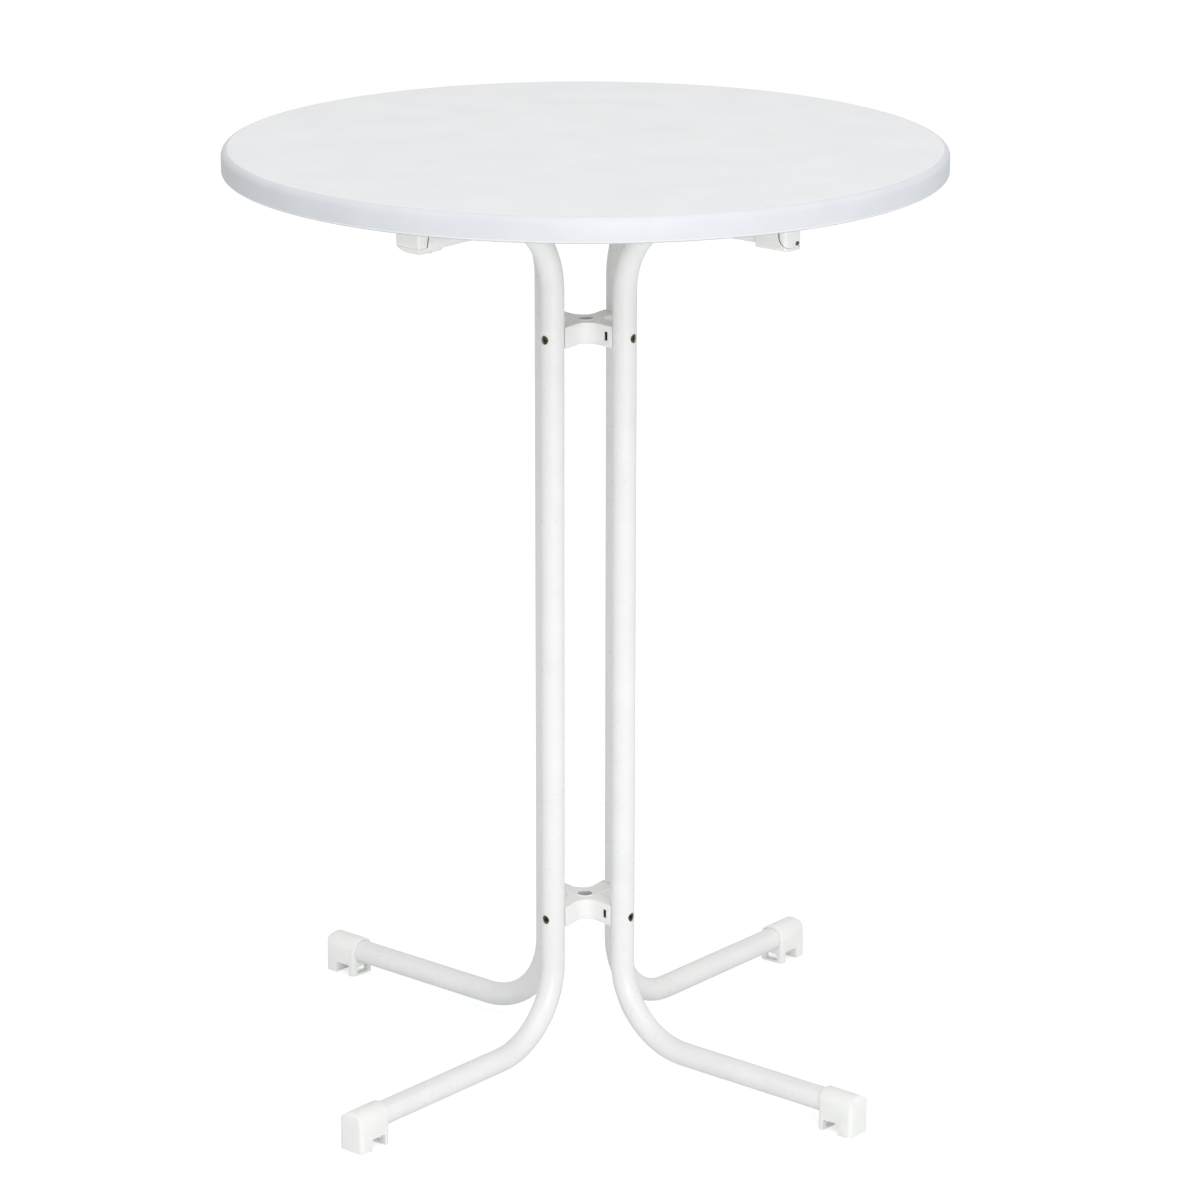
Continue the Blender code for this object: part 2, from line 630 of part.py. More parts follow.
def sleeve(name, angle, hinged):
    """Moulded end piece on an upper arm, with the seat for the top's bracket."""
    kind = "hinge" if hinged else "latch"
    section = sleeve_section(HINGE_SLEEVE_ROUND if hinged else LATCH_SLEEVE_ROUND, True)
    inner = SLEEVE_REACH - SLEEVE_LENGTH
    body = prism(section, inner - OVERRUN, SLEEVE_REACH + OVERRUN, front_frame())
    obj = turn(solid(f"{kind}_sleeve_{name}", body, plastic_white()), angle)
    block = prism(sleeve_plan(), SLEEVE_BOTTOM_Z - OVERRUN, SLEEVE_TOP_Z + OVERRUN)
    combine(obj, turn(solid(f"keep_sleeve_plan_{name}", block), angle), "INTERSECT")
    if hinged:
        cut_hinge_seat(obj, name)
    else:
        reach = SLEEVE_HALF_WIDTH + OVERRUN
        crown = prism(sleeve_crown(), -reach, reach, side_frame())
        combine(obj, turn(solid(f"keep_crown_{name}", crown), angle), "INTERSECT")
        seat = prism(latch_side(0, SLEEVE_TOP_Z + OVERRUN), -reach, reach, side_frame())
        cut(obj, turn(solid(f"cut_seat_{name}", seat), angle))
    bore = cylinder(
        SLEEVE_BORE_RADIUS, inner - OVERRUN, UPPER_ARM_REACH + GAP, TUBE_SIDES, along_x(UPPER_ARM_Z)
    )
    cut(obj, turn(solid(f"cut_sleeve_bore_{name}", bore), angle))
    place = Matrix.Translation((sleeve_screw_x(), 0, 0))
    shank = SLEEVE_SCREW_DIAMETER / 2 + HOLE_GAP
    hole = cylinder(shank, SLEEVE_BOTTOM_Z - OVERRUN, UPPER_ARM_Z, SMALL_SIDES, place)
    cut(obj, turn(solid(f"cut_screw_hole_{name}", hole), angle))
    return obj


def cut_hinge_seat(obj, name):
    """The seat leaves a floor, a round-cornered wall and the ear that holds the pin."""
    seat = hinge_prism(hinge_seat_side(), HINGE_EAR_FACE, SLEEVE_REACH, name)
    reach = SLEEVE_REACH + OVERRUN
    outline = [
        (HINGE_SIDE_X, SLEEVE_BOTTOM_Z - OVERRUN), (reach, SLEEVE_BOTTOM_Z - OVERRUN),
        (reach, SLEEVE_TOP_Z + OVERRUN), (HINGE_SIDE_X, SLEEVE_TOP_Z + OVERRUN),
    ]
    beyond = hinge_prism(outline, 0, reach, name)
    start = HINGE_EAR_FACE - PIN_IN_EAR - GAP
    hole = hinge_prism(pin_outline(HINGE_PIN_DIAMETER / 2 + HOLE_GAP), start, HINGE_EAR_FACE + GAP, name)
    cut(obj, solid(f"cut_seat_{name}", seat), solid(f"cut_beyond_{name}", beyond))
    cut(obj, solid(f"cut_ear_{name}", hole))


def flange_outline():
    low = SLEEVE_REACH - FLANGE_INWARD
    high = SLEEVE_REACH + FLANGE_OUTWARD
    return rounded_rectangle(low, high, -FLANGE_WIDTH / 2, FLANGE_WIDTH / 2, FLANGE_CORNER_RADIUS)


def screw_places():
    """Centres of the four screws of a bracket, along and across its leg."""
    low = SLEEVE_REACH - FLANGE_INWARD + TOP_SCREW_EDGE
    high = SLEEVE_REACH + FLANGE_OUTWARD - TOP_SCREW_EDGE
    across = FLANGE_WIDTH / 2 - TOP_SCREW_EDGE
    return [(low, -across), (low, across), (high, across), (high, -across)]


def screw_holes(low, high):
    bm = bmesh.new()
    for x, y in screw_places():
        place = Matrix.Translation((x, y, 0))
        join(bm, cylinder(TOP_SCREW_DIAMETER / 2 + HOLE_GAP, low, high, SMALL_SIDES, place))
    return bm


def grip_ribs():
    """Two upright ribs on a catch's inner face, which grip the wall of the seat."""
    low, _, _, high = latch_side(SEAT_GAP, FLANGE_BOTTOM_Z)
    proud = SEAT_GAP - GAP
    outline = [
        (low[0] - proud, low[1] + GRIP_RIB_WIDTH),
        (low[0] + GRIP_RIB_WIDTH, low[1] + GRIP_RIB_WIDTH),
        (high[0] + GRIP_RIB_WIDTH, high[1] + FLANGE_THICKNESS / 2),
        (high[0] - proud, high[1] + FLANGE_THICKNESS / 2),
    ]
    bm = bmesh.new()
    for sign in (-1, 1):
        middle = sign * GRIP_RIB_SPACING / 2
        half = GRIP_RIB_WIDTH / 2
        join(bm, prism(outline, middle - half, middle + half, side_frame()))
    return bm


def bracket(name, angle, hinged):
    """Bracket under the top: a screwed flange with a block that stands in the sleeve's seat."""
    kind = "hinge" if hinged else "catch"
    top = FLANGE_BOTTOM_Z + FLANGE_THICKNESS / 2
    if hinged:
        body = hinge_prism(hinge_bracket_side(top), HINGE_EAR_FACE + GAP, SLEEVE_REACH, name)
        obj = solid(f"{kind}_bracket_{name}", body, plastic_white())
    else:
        reach = SLEEVE_HALF_WIDTH + OVERRUN
        body = prism(latch_side(SEAT_GAP, top), -reach, reach, side_frame())
        obj = turn(solid(f"{kind}_bracket_{name}", body, plastic_white()), angle)
        section = sleeve_section(LATCH_SLEEVE_ROUND, False)
        ends = (SLEEVE_REACH - SLEEVE_LENGTH, SLEEVE_REACH + OVERRUN)
        flanks = turn(solid(f"keep_flanks_{name}", prism(section, *ends, front_frame())), angle)
        combine(obj, flanks, "INTERSECT")
        crown = prism(sleeve_crown(), -reach, reach, side_frame())
        combine(obj, turn(solid(f"keep_catch_crown_{name}", crown), angle), "INTERSECT")
    block = prism(sleeve_plan(), SLEEVE_BOTTOM_Z - OVERRUN, FLANGE_TOP_Z + OVERRUN)
    combine(obj, turn(solid(f"keep_bracket_plan_{name}", block), angle), "INTERSECT")
    if not hinged:
        combine(obj, turn(solid(f"add_grip_{name}", grip_ribs()), angle), "UNION")
    flange = solid(f"add_flange_{name}", prism(flange_outline(), FLANGE_BOTTOM_Z, FLANGE_TOP_Z))
    combine(obj, turn(flange, angle), "UNION")
    holes = solid(f"cut_flange_holes_{name}", screw_holes(FLANGE_BOTTOM_Z - OVERRUN, FLANGE_TOP_Z + OVERRUN))
    cut(obj, turn(holes, angle))
    if hinged:
        hole = pin_outline(HINGE_PIN_DIAMETER / 2 + HOLE_GAP)
        ends = (HINGE_EAR_FACE - OVERRUN, HINGE_OUTER_END + OVERRUN)
        cut(obj, solid(f"cut_pin_hole_{name}", hinge_prism(hole, *ends, name)))
    return obj


def hinge_pin(name):
    """Pressed into the sleeve's ear; its outer end stops a little short of the bracket's face."""
    ends = (HINGE_EAR_FACE - PIN_IN_EAR, HINGE_OUTER_END - PIN_END_RECESS)
    bar = hinge_prism(pin_outline(HINGE_PIN_DIAMETER / 2), *ends, name)
    return solid(f"hinge_pin_{name}", bar, zinc_plain())


def pan_screw(name, paint, shank_radius, head_radius, head_height, seat, tip, place):
    """Screw with its head below the seat and its shank upwards to the tip."""
    low = seat - head_height
    taper = tip - shank_radius * 2
    shoulder = low + head_height / 2
    profile = [(0, low), (head_radius * 0.7, low), (head_radius, shoulder), (head_radius, seat)]
    profile += [(shank_radius, seat), (shank_radius, taper), (0, tip)]
    bm = turned(profile, SMALL_SIDES)
    bm.transform(place)
    return solid(name, bm, paint)


def sleeve_screw(name, angle):
    seat = SLEEVE_BOTTOM_Z - GAP
    tip = UPPER_ARM_Z - TUBE_RADIUS + TUBE_WALL + SLEEVE_SCREW_REACH
    place = Matrix.Translation((sleeve_screw_x(), 0, 0))
    screw = pan_screw(
        f"sleeve_screw_{name}", zinc_plain(), SLEEVE_SCREW_DIAMETER / 2, SLEEVE_SCREW_HEAD / 2,
        SLEEVE_SCREW_HEAD_HEIGHT, seat, tip, place,
    )
    return turn(screw, angle)


def top_screws(name, angle):
    seat = FLANGE_BOTTOM_Z - GAP
    tip = UNDERSIDE_Z + TOP_SCREW_DEPTH
    screws = []
    for number, (x, y) in enumerate(screw_places(), start=1):
        place = Matrix.Translation((x, y, 0))
        screw = pan_screw(
            f"top_screw_{name}_{number}", zinc_plain(), TOP_SCREW_DIAMETER / 2, TOP_SCREW_HEAD / 2,
            TOP_SCREW_HEAD_HEIGHT, seat, tip, place,
        )
        screws.append(turn(screw, angle))
    return screws


def table_top():
    """Round board with a soft upper edge, an upright rim and a smaller round below."""
    radius = TOP_DIAMETER / 2
    high_centre = (radius - TOP_EDGE_RADIUS, TABLE_HEIGHT - TOP_EDGE_RADIUS)
    low_centre = (radius - TOP_LOWER_RADIUS, UNDERSIDE_Z + TOP_LOWER_RADIUS)
    upper = arc(high_centre, TOP_EDGE_RADIUS, 0, 90, CORNER_STEPS + 1)
    lower = arc(low_centre, TOP_LOWER_RADIUS, -90, 0, CORNER_STEPS)
    profile = [(0, UNDERSIDE_Z)] + lower + upper + [(0, TABLE_HEIGHT)]
    obj = solid("table_top", turned(profile, TOP_SEGMENTS), laminate_white(), smooth_angle=50)
    depth = UNDERSIDE_Z + TOP_SCREW_DEPTH + HOLE_GAP
    for name, angle in LEG_ANGLES.items():
        holes = solid(f"cut_top_holes_{name}", screw_holes(UNDERSIDE_Z - OVERRUN, depth))
        cut(obj, turn(holes, angle))
    return obj


def hinge_axis():
    """An empty on the axis of the two pins, which carries everything that tilts."""
    axis = bpy.data.objects.new("top_tilt_axis", None)
    bpy.context.scene.collection.objects.link(axis)
    axis.location = (HINGE_AXIS_X, 0, HINGE_AXIS_Z)
    return axis


def carry(axis, obj):
    obj.parent = axis
    obj.matrix_parent_inverse = Matrix.Translation(-axis.location)


def build():
    clear_scene()
    axis = hinge_axis()
    carry(axis, table_top())
    for level in CONNECTOR_CENTRES:
        connector(level)
    for name, angle in LEG_ANGLES.items():
        hinged = name in HINGED
        leg(name, angle)
        foot(name, angle)
        sleeve(name, angle, hinged)
        sleeve_screw(name, angle)
        carry(axis, bracket(name, angle, hinged))
        for screw in top_screws(name, angle):
            carry(axis, screw)
        if hinged:
            hinge_pin(name)
        for level in CONNECTOR_CENTRES:
            bolt(level, name, angle)
            nut(level, name, angle)


build()
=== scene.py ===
# %% [markdown]
# # A white bar table with a tilting top
#
# The real table is a round laminated board on four bent steel tubes.  The tubes stand in a square
# column, held together by two moulded connectors, and bend outwards, into feet below and into
# sleeves above.  Two sleeves hold the hinges that the top tilts on, and the other two its catches.
#
# The solids of the frame already stand in the right places.  This lesson dresses them: each visible
# piece is modelled again with finer edges, in the same place, and gets the finish of the real one.

# %% Load the frame
import math

import bmesh
import bpy
from mathutils import Matrix, Vector


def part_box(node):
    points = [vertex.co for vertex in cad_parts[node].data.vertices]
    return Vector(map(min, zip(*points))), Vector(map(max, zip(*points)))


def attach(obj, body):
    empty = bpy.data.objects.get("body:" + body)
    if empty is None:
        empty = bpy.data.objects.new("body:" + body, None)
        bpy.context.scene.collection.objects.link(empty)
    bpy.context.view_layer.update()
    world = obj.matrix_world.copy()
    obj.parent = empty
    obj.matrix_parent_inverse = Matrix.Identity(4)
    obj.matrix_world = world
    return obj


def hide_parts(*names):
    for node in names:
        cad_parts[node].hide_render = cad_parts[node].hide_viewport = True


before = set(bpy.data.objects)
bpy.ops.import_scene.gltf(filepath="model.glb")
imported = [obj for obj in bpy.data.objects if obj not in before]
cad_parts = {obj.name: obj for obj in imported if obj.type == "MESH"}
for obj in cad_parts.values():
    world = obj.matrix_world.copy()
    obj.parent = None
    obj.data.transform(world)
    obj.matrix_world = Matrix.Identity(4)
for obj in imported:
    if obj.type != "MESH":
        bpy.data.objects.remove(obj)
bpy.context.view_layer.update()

MM = 0.001
QUARTER_TURN = math.radians(90)

# %% [markdown]
# ## The camera
#
# The camera stands where the photographer stood: almost 5 m away and 2 m up, looking down by 17
# degrees with a long lens.  The table is turned by 5 degrees under it, so the camera goes round the
# table by that angle instead, and the table keeps its own axes.

# %% Camera
CAMERA_DISTANCE = 4.9093
CAMERA_HEIGHT = 2.0324
CAMERA_PITCH = math.radians(16.691)
CAMERA_YAW = math.radians(0.202)
CAMERA_ROLL = math.radians(0.107)
CAMERA_ROUND = math.radians(4.805)
FOCAL_PIXELS = 4390.1
IMAGE_PIXELS = 1200
SENSOR_WIDTH = 36.0


def make_camera():
    data = bpy.data.cameras.new("camera")
    camera = bpy.data.objects.new("camera", data)
    bpy.context.scene.collection.objects.link(camera)
    data.sensor_width = SENSOR_WIDTH
    data.lens = FOCAL_PIXELS / IMAGE_PIXELS * SENSOR_WIDTH
    away = Matrix.Translation((0, -CAMERA_DISTANCE, CAMERA_HEIGHT))
    place = Matrix.Rotation(-CAMERA_ROUND, 4, "Z") @ away
    tip = Matrix.Rotation(QUARTER_TURN - CAMERA_PITCH, 4, "X")
    look = Matrix.Rotation(-CAMERA_YAW, 4, "Z") @ tip
    camera.matrix_world = place @ look @ Matrix.Rotation(CAMERA_ROLL, 4, "Z")
    bpy.context.scene.camera = camera
    return camera


camera = make_camera()
print("lens in millimetres:", round(camera.data.lens, 1))

# %% [markdown]
# ## Light and floor
#
# The photo is a studio picture on white.  A bright pale room gives most of the light.  One large
# soft light stands low behind the camera and fills the column under the top, a second one hangs
# high in front and reaches the feet, and a weak one hangs above the table.  The camera itself sees
# the room as pure white.  The floor glows a little for camera rays only: it turns white in the
# picture, adds no light to the table and still shows its shadow.

# %% Colours and node helper
def colour(code):
    """Turns an sRGB hex value into the linear colour that a node takes."""
    channels = [int(code[i:i + 2], 16) / 255 for i in (1, 3, 5)]
    linear = [c / 12.92 if c <= 0.04045 else ((c + 0.055) / 1.055) ** 2.4 for c in channels]
    return (*linear, 1.0)


def add(tree, kind, inputs=None, **settings):
    """Adds one node with its settings; an input is either a value or the output that feeds it."""
    made = tree.nodes.new(kind)
    for name, value in settings.items():
        setattr(made, name, value)
    for name, value in (inputs or {}).items():
        if isinstance(value, bpy.types.NodeSocket):
            tree.links.new(value, made.inputs[name])
        else:
            made.inputs[name].default_value = value
    return made


# %% Lights
WHITE = "#FFFFFF"
ROOM_COLOUR = "#FAFAF9"
ROOM_STRENGTH = 0.72
# Each softbox has the side of its square in metres, its power in watts, its place and its target.
SOFTBOXES = {
    "low_softbox": (3.0, 106, (0.7, -5.4, 1.0), (0, 0, 0.7)),
    "high_softbox": (3.0, 45, (0.5, -3.4, 4.2), (0, 0, 0.7)),
    "top_softbox": (2.6, 18, (0.1, 0.2, 3.8), (0, 0, 0.9)),
}


def make_light(name, size, power, location, target):
    data = bpy.data.lights.new(name, "AREA")
    data.shape = "SQUARE"
    data.size = size
    data.energy = power
    light = bpy.data.objects.new(name, data)
    bpy.context.scene.collection.objects.link(light)
    light.location = location
    light.rotation_euler = (Vector(target) - Vector(location)).to_track_quat("-Z", "Y").to_euler()


def make_world():
    world = bpy.data.worlds.new("studio")
    world.use_nodes = True
    tree = world.node_tree
    tree.nodes.clear()
    path = add(tree, "ShaderNodeLightPath")
    lit = add(tree, "ShaderNodeBackground", {
        "Color": colour(ROOM_COLOUR), "Strength": ROOM_STRENGTH,
    })
    white = add(tree, "ShaderNodeBackground", {"Color": colour(WHITE), "Strength": 1.0})
    mix = add(tree, "ShaderNodeMixShader", {
        0: path.outputs["Is Camera Ray"], 1: lit.outputs[0], 2: white.outputs[0],
    })
    add(tree, "ShaderNodeOutputWorld", {"Surface": mix.outputs[0]})
    bpy.context.scene.world = world


make_world()
for name, (size, power, location, target) in SOFTBOXES.items():
    make_light(name, size, power, location, target)
bpy.context.scene.view_settings.view_transform = "Standard"

# %% Floor
# The plane lies a little under the soles, so that no two faces share one plane.
FLOOR_SIZE = 60
FLOOR_Z = -0.1 * MM
FLOOR_COLOUR = "#E9EAEB"
FLOOR_WHITE = 0.46


def make_floor():
    bpy.ops.object.select_all(action="DESELECT")
    bpy.ops.mesh.primitive_plane_add(size=FLOOR_SIZE, location=(0, 0, FLOOR_Z))
    floor = bpy.context.active_object
    floor.name = "floor"
    paint = bpy.data.materials.new("pale studio floor")
    paint.use_nodes = True
    tree = paint.node_tree
    tree.nodes.clear()
    path = add(tree, "ShaderNodeLightPath")
    base = add(tree, "ShaderNodeBsdfDiffuse", {"Color": colour(FLOOR_COLOUR)})
    strength = add(tree, "ShaderNodeMath", {
        0: path.outputs["Is Camera Ray"], 1: FLOOR_WHITE,
    }, operation="MULTIPLY")
    glow = add(tree, "ShaderNodeEmission", {
        "Color": colour(WHITE), "Strength": strength.outputs[0],
    })
    both = add(tree, "ShaderNodeAddShader", {0: base.outputs[0], 1: glow.outputs[0]})
    add(tree, "ShaderNodeOutputMaterial", {"Surface": both.outputs[0]})
    floor.data.materials.append(paint)


make_floor()

# %% [markdown]
# ## Finishes
#
# Nine finishes cover the table.  Each starts from what the real one is and how its surface was
# made, because that decides its roughness and its bump.  All patterns are measured in millimetres.
# A pixel of the picture is about a millimetre wide, so a grain that is finer on the real surface is
# drawn as coarse as it needs to show, and the comment above that finish says so.

# %% Material helpers
# Most values of a noise pattern lie between these two.
PATTERN_LOW, PATTERN_HIGH = 0.3, 0.7


def start_material(name):
    made = bpy.data.materials.new(name)
    made.use_nodes = True
    tree = made.node_tree
    return made, tree, tree.nodes["Principled BSDF"]


def grain(tree, size_mm, detail):
    """A cloudy pattern whose lumps are about this big on the real surface."""
    place = add(tree, "ShaderNodeTexCoord")
    return add(tree, "ShaderNodeTexNoise", {
        "Vector": place.outputs["Object"], "Scale": 1 / (size_mm * MM), "Detail": detail,
    })


def two_tones(tree, shader, pattern, dark, light):
    """The base colour drifts between two close tones with the pattern."""
    ramp = add(tree, "ShaderNodeValToRGB", {"Fac": pattern.outputs["Fac"]})
    ramp.color_ramp.elements[0].position = PATTERN_LOW
    ramp.color_ramp.elements[0].color = colour(dark)
    ramp.color_ramp.elements[1].position = PATTERN_HIGH
    ramp.color_ramp.elements[1].color = colour(light)
    tree.links.new(ramp.outputs["Color"], shader.inputs["Base Color"])


def raised(tree, shader, pattern, height_mm, strength):
    """The pattern stands out from the surface by this height."""
    bump = add(tree, "ShaderNodeBump", {
        "Height": pattern.outputs["Fac"], "Distance": height_mm * MM, "Strength": strength,
    })
    tree.links.new(bump.outputs["Normal"], shader.inputs["Normal"])


def uneven_gloss(tree, shader, pattern, low, high):
    """The roughness drifts between two values with the pattern."""
    spread = add(tree, "ShaderNodeMapRange", {
        "Value": pattern.outputs["Fac"], "From Min": PATTERN_LOW, "From Max": PATTERN_HIGH,
        "To Min": low, "To Max": high,
    })
    tree.links.new(spread.outputs["Result"], shader.inputs["Roughness"])


# %% White melamine laminate
# Pressed on the board between textured plates: an even satin sheen over a fine pebble grain.  The
# real pebbles are about 0.3 mm wide.
def melamine_laminate():
    made, tree, shader = start_material("white melamine laminate")
    two_tones(tree, shader, grain(tree, size_mm=60, detail=3), "#E9EAEC", "#EDEEF0")
    pebble = grain(tree, size_mm=1.6, detail=1)
    raised(tree, shader, pebble, height_mm=0.05, strength=0.35)
    uneven_gloss(tree, shader, pebble, low=0.34, high=0.42)
    shader.inputs["IOR"].default_value = 1.5
    return made


# %% Edge band of the top
# An extruded plastic strip glued round the board: a shade bluer and darker than the laminate.  The
# real grain is about 0.2 mm wide.
def edge_band():
    made, tree, shader = start_material("white plastic edge band")
    two_tones(tree, shader, grain(tree, size_mm=45, detail=2), "#D5D8DD", "#D9DCE1")
    drawn = grain(tree, size_mm=1.2, detail=1)
    raised(tree, shader, drawn, height_mm=0.03, strength=0.3)
    uneven_gloss(tree, shader, drawn, low=0.36, high=0.44)
    shader.inputs["IOR"].default_value = 1.5
    return made


# %% Backing of the board
# Plain grey melamine paper on the hidden side, which keeps the board from warping: dull, with paper
# fibres that are really about 0.1 mm wide.
# Where this grey wraps round the lower edge of the top, it is painted shade for the dark line of
# that edge.
def backing_paper_and_edge_shade():
    made, tree, shader = start_material("grey melamine backing with painted edge shade")
    two_tones(tree, shader, grain(tree, size_mm=30, detail=3), "#C7C6C2", "#CAC9C5")
    fibres = grain(tree, size_mm=1.1, detail=1)
    raised(tree, shader, fibres, height_mm=0.03, strength=0.3)
    uneven_gloss(tree, shader, fibres, low=0.5, high=0.58)
    return made


# %% White powder coat
# Sprayed dry and baked: glossy, with the soft waves about 2 mm wide that painters call orange peel.
def powder_coat():
    made, tree, shader = start_material("white powder coat on steel")
    two_tones(tree, shader, grain(tree, size_mm=40, detail=2), "#ECEDEC", "#F0F1F0")
    peel = grain(tree, size_mm=2.2, detail=1)
    raised(tree, shader, peel, height_mm=0.04, strength=0.2)
    uneven_gloss(tree, shader, grain(tree, size_mm=9, detail=2), low=0.27, high=0.33)
    shader.inputs["IOR"].default_value = 1.5
    return made


# %% White polyamide
# Injection moulded in a spark-eroded mould: a fine even grain and a satin sheen.  The real grain is
# about 0.1 mm wide.
def moulded_plastic():
    made, tree, shader = start_material("white moulded polyamide")
    two_tones(tree, shader, grain(tree, size_mm=25, detail=2), "#F1F2F0", "#F5F6F4")
    eroded = grain(tree, size_mm=0.9, detail=1)
    raised(tree, shader, eroded, height_mm=0.04, strength=0.4)
    uneven_gloss(tree, shader, eroded, low=0.36, high=0.46)
    shader.inputs["IOR"].default_value = 1.53
    return made


# %% Plated steel
# The bolts are passivated to an olive that drifts towards straw, and are darker than that plating
# as painted shade of the holes that their heads sit in.  The screws are plain zinc.  The pins are
# drawn and duller, and darker as painted shade of the dot that their ends show.  The nuts are
# steel, near black as painted shade of the pockets that they fill.  A plated surface shows only as
# a faint unevenness of its gloss, because its crystals are far finer than a pixel.
def plated_steel(name, dark, light, low, high):
    made, tree, shader = start_material(name)
    two_tones(tree, shader, grain(tree, size_mm=3, detail=2), dark, light)
    crystals = grain(tree, size_mm=0.8, detail=2)
    raised(tree, shader, crystals, height_mm=0.02, strength=0.3)
    uneven_gloss(tree, shader, crystals, low, high)
    shader.inputs["Metallic"].default_value = 1.0
    return made


# %% All nine finishes
# A piece takes the finish of its slot.  The last three take the place of that finish on the top's
# edge, on its underside and on the hinge pins.
FINISHES = {
    "top_laminate": melamine_laminate(),
    "white_paint": powder_coat(),
    "white_plastic": moulded_plastic(),
    "yellow_zinc": plated_steel("olive zinc with painted hole shade", "#5F594A", "#7C7360", 0.34, 0.48),
    "plain_zinc": plated_steel("plain zinc plating", "#A9ABAE", "#C2C4C6", 0.30, 0.44),
    "black_steel": plated_steel("blackened steel", "#1B1B1C", "#29292A", 0.38, 0.52),
}
EDGE_BAND = edge_band()
BACKING_AND_PAINTED_EDGE_SHADE = backing_paper_and_edge_shade()
# The pins' darker zinc is painted shade.
PIN_STEEL_PAINTED_SHADE = plated_steel("drawn pin zinc with painted shade", "#4E4F52", "#606164", 0.5, 0.6)
print("finishes:", ", ".join(FINISHES))

# %% [markdown]
# ## Tools of the lesson
#
# Every piece starts as a primitive.  Edges and faces are chosen in code by their place, bevelled or
# moved in edit mode, and joined or cut with Boolean modifiers.  A last small bevel breaks the sharp
# edges, because no moulded or painted edge is perfectly sharp and the highlights live there.
#
# A tool reaches a millimetre past the piece that it cuts.  Where two faces would share a plane, one
# of them is moved by a hair, because a Boolean modifier leaves splinters there.  Pieces that fit
# into one another keep a slack of 0.3 mm.

# %% Primitives and edit mode
ROUND_SIDES = 64
HEAD_SIDES = 48
HOLE_SIDES = 32
SHANK_SIDES = 24
SLACK = 0.3 * MM
HAIR = 0.02 * MM
TINY = 0.01 * MM
FLAT_ANGLE = math.radians(0.1)


def activate(obj):
    bpy.ops.object.select_all(action="DESELECT")
    obj.select_set(True)
    bpy.context.view_layer.objects.active = obj
    return obj


def settle(obj):
    """Puts the object's place, turn and size into its mesh."""
    activate(obj)
    bpy.ops.object.transform_apply(location=True, rotation=True, scale=True)
    return obj


def block(low, high):
    """A box between two corners."""
    low, high = Vector(low), Vector(high)
    bpy.ops.object.select_all(action="DESELECT")
    bpy.ops.mesh.primitive_cube_add(size=1, location=(low + high) / 2)
    obj = bpy.context.active_object
    obj.scale = high - low
    return settle(obj)


def rod(radius, start, end, sides=ROUND_SIDES):
    """A round bar from one point to another."""
    start, end = Vector(start), Vector(end)
    along = end - start
    bpy.ops.object.select_all(action="DESELECT")
    bpy.ops.mesh.primitive_cylinder_add(
        vertices=sides, radius=radius, depth=along.length, location=(start + end) / 2,
        rotation=along.to_track_quat("Z", "Y").to_euler(),
    )
    return settle(bpy.context.active_object)


def choose(obj, kind, wanted):
    """Goes into edit mode and selects edges or faces by a test of their corner points."""
    activate(obj)
    bpy.ops.object.mode_set(mode="EDIT")
    bpy.ops.mesh.select_mode(type=kind)
    bpy.ops.mesh.select_all(action="DESELECT")
    shape = bmesh.from_edit_mesh(obj.data)
    for part in shape.edges if kind == "EDGE" else shape.faces:
        if wanted([corner.co for corner in part.verts]):
            part.select_set(True)
    bmesh.update_edit_mesh(obj.data)


def round_edges(obj, radius, wanted, segments=6):
    choose(obj, "EDGE", wanted)
    bpy.ops.mesh.bevel(offset=radius, segments=segments, affect="EDGES")
    bpy.ops.object.mode_set(mode="OBJECT")
    return obj


def move_edges(obj, wanted, by):
    choose(obj, "EDGE", wanted)
    bpy.ops.transform.translate(value=by)
    bpy.ops.object.mode_set(mode="OBJECT")
    return obj


def merge_flat(obj):
    """Joins faces that lie in one plane, which a Boolean leaves split."""
    activate(obj)
    bpy.ops.object.mode_set(mode="EDIT")
    bpy.ops.mesh.select_all(action="SELECT")
    bpy.ops.mesh.dissolve_limited(angle_limit=FLAT_ANGLE)
    bpy.ops.object.mode_set(mode="OBJECT")
    return obj


def upright(corners):
    """True for an edge that runs straight up."""
    return all(abs((corners[0] - corners[1])[i]) < TINY for i in (0, 1))


def along_x(corners):
    """True for an edge that runs along X, at least for the most part."""
    return abs(corners[0].x - corners[1].x) > MM


# %% Boolean steps and the finishing bevel
SHARP_ANGLE = math.radians(35)
SMOOTH_ANGLE = math.radians(40)


def combine(obj, other, operation):
    step = obj.modifiers.new(operation.lower(), "BOOLEAN")
    step.operation = operation
    step.solver = "EXACT"
    step.object = other
    activate(obj)
    bpy.ops.object.modifier_apply(modifier=step.name)
    bpy.data.objects.remove(other)
    return obj


def cut(obj, *tools):
    for tool in tools:
        combine(obj, tool, "DIFFERENCE")
    return obj


def drill(obj, radius, start, end, sides=ROUND_SIDES):
    """Cuts a round hole from one point to another."""
    return cut(obj, rod(radius, start, end, sides))


def keep(obj, *tools):
    """Keeps what lies inside every tool."""
    for tool in tools:
        combine(obj, tool, "INTERSECT")
    return obj


def fuse(obj, *others):
    for other in others:
        combine(obj, other, "UNION")
    return obj


def break_edges(obj, width, segments=3):
    """Bevels every edge that is still sharp, then shades the result smooth."""
    step = obj.modifiers.new("broken edges", "BEVEL")
    step.width = width
    step.segments = segments
    step.limit_method = "ANGLE"
    step.angle_limit = SHARP_ANGLE
    activate(obj)
    bpy.ops.object.modifier_apply(modifier=step.name)
    return smooth(obj)


def smooth(obj):
    activate(obj)
    bpy.ops.object.shade_smooth_by_angle(angle=SMOOTH_ANGLE)
    return obj


# %% Names, finishes and copies
LEG_ANGLES = {
    "front_left": math.radians(-135),
    "front_right": math.radians(-45),
    "rear_right": math.radians(45),
    "rear_left": math.radians(135),
}


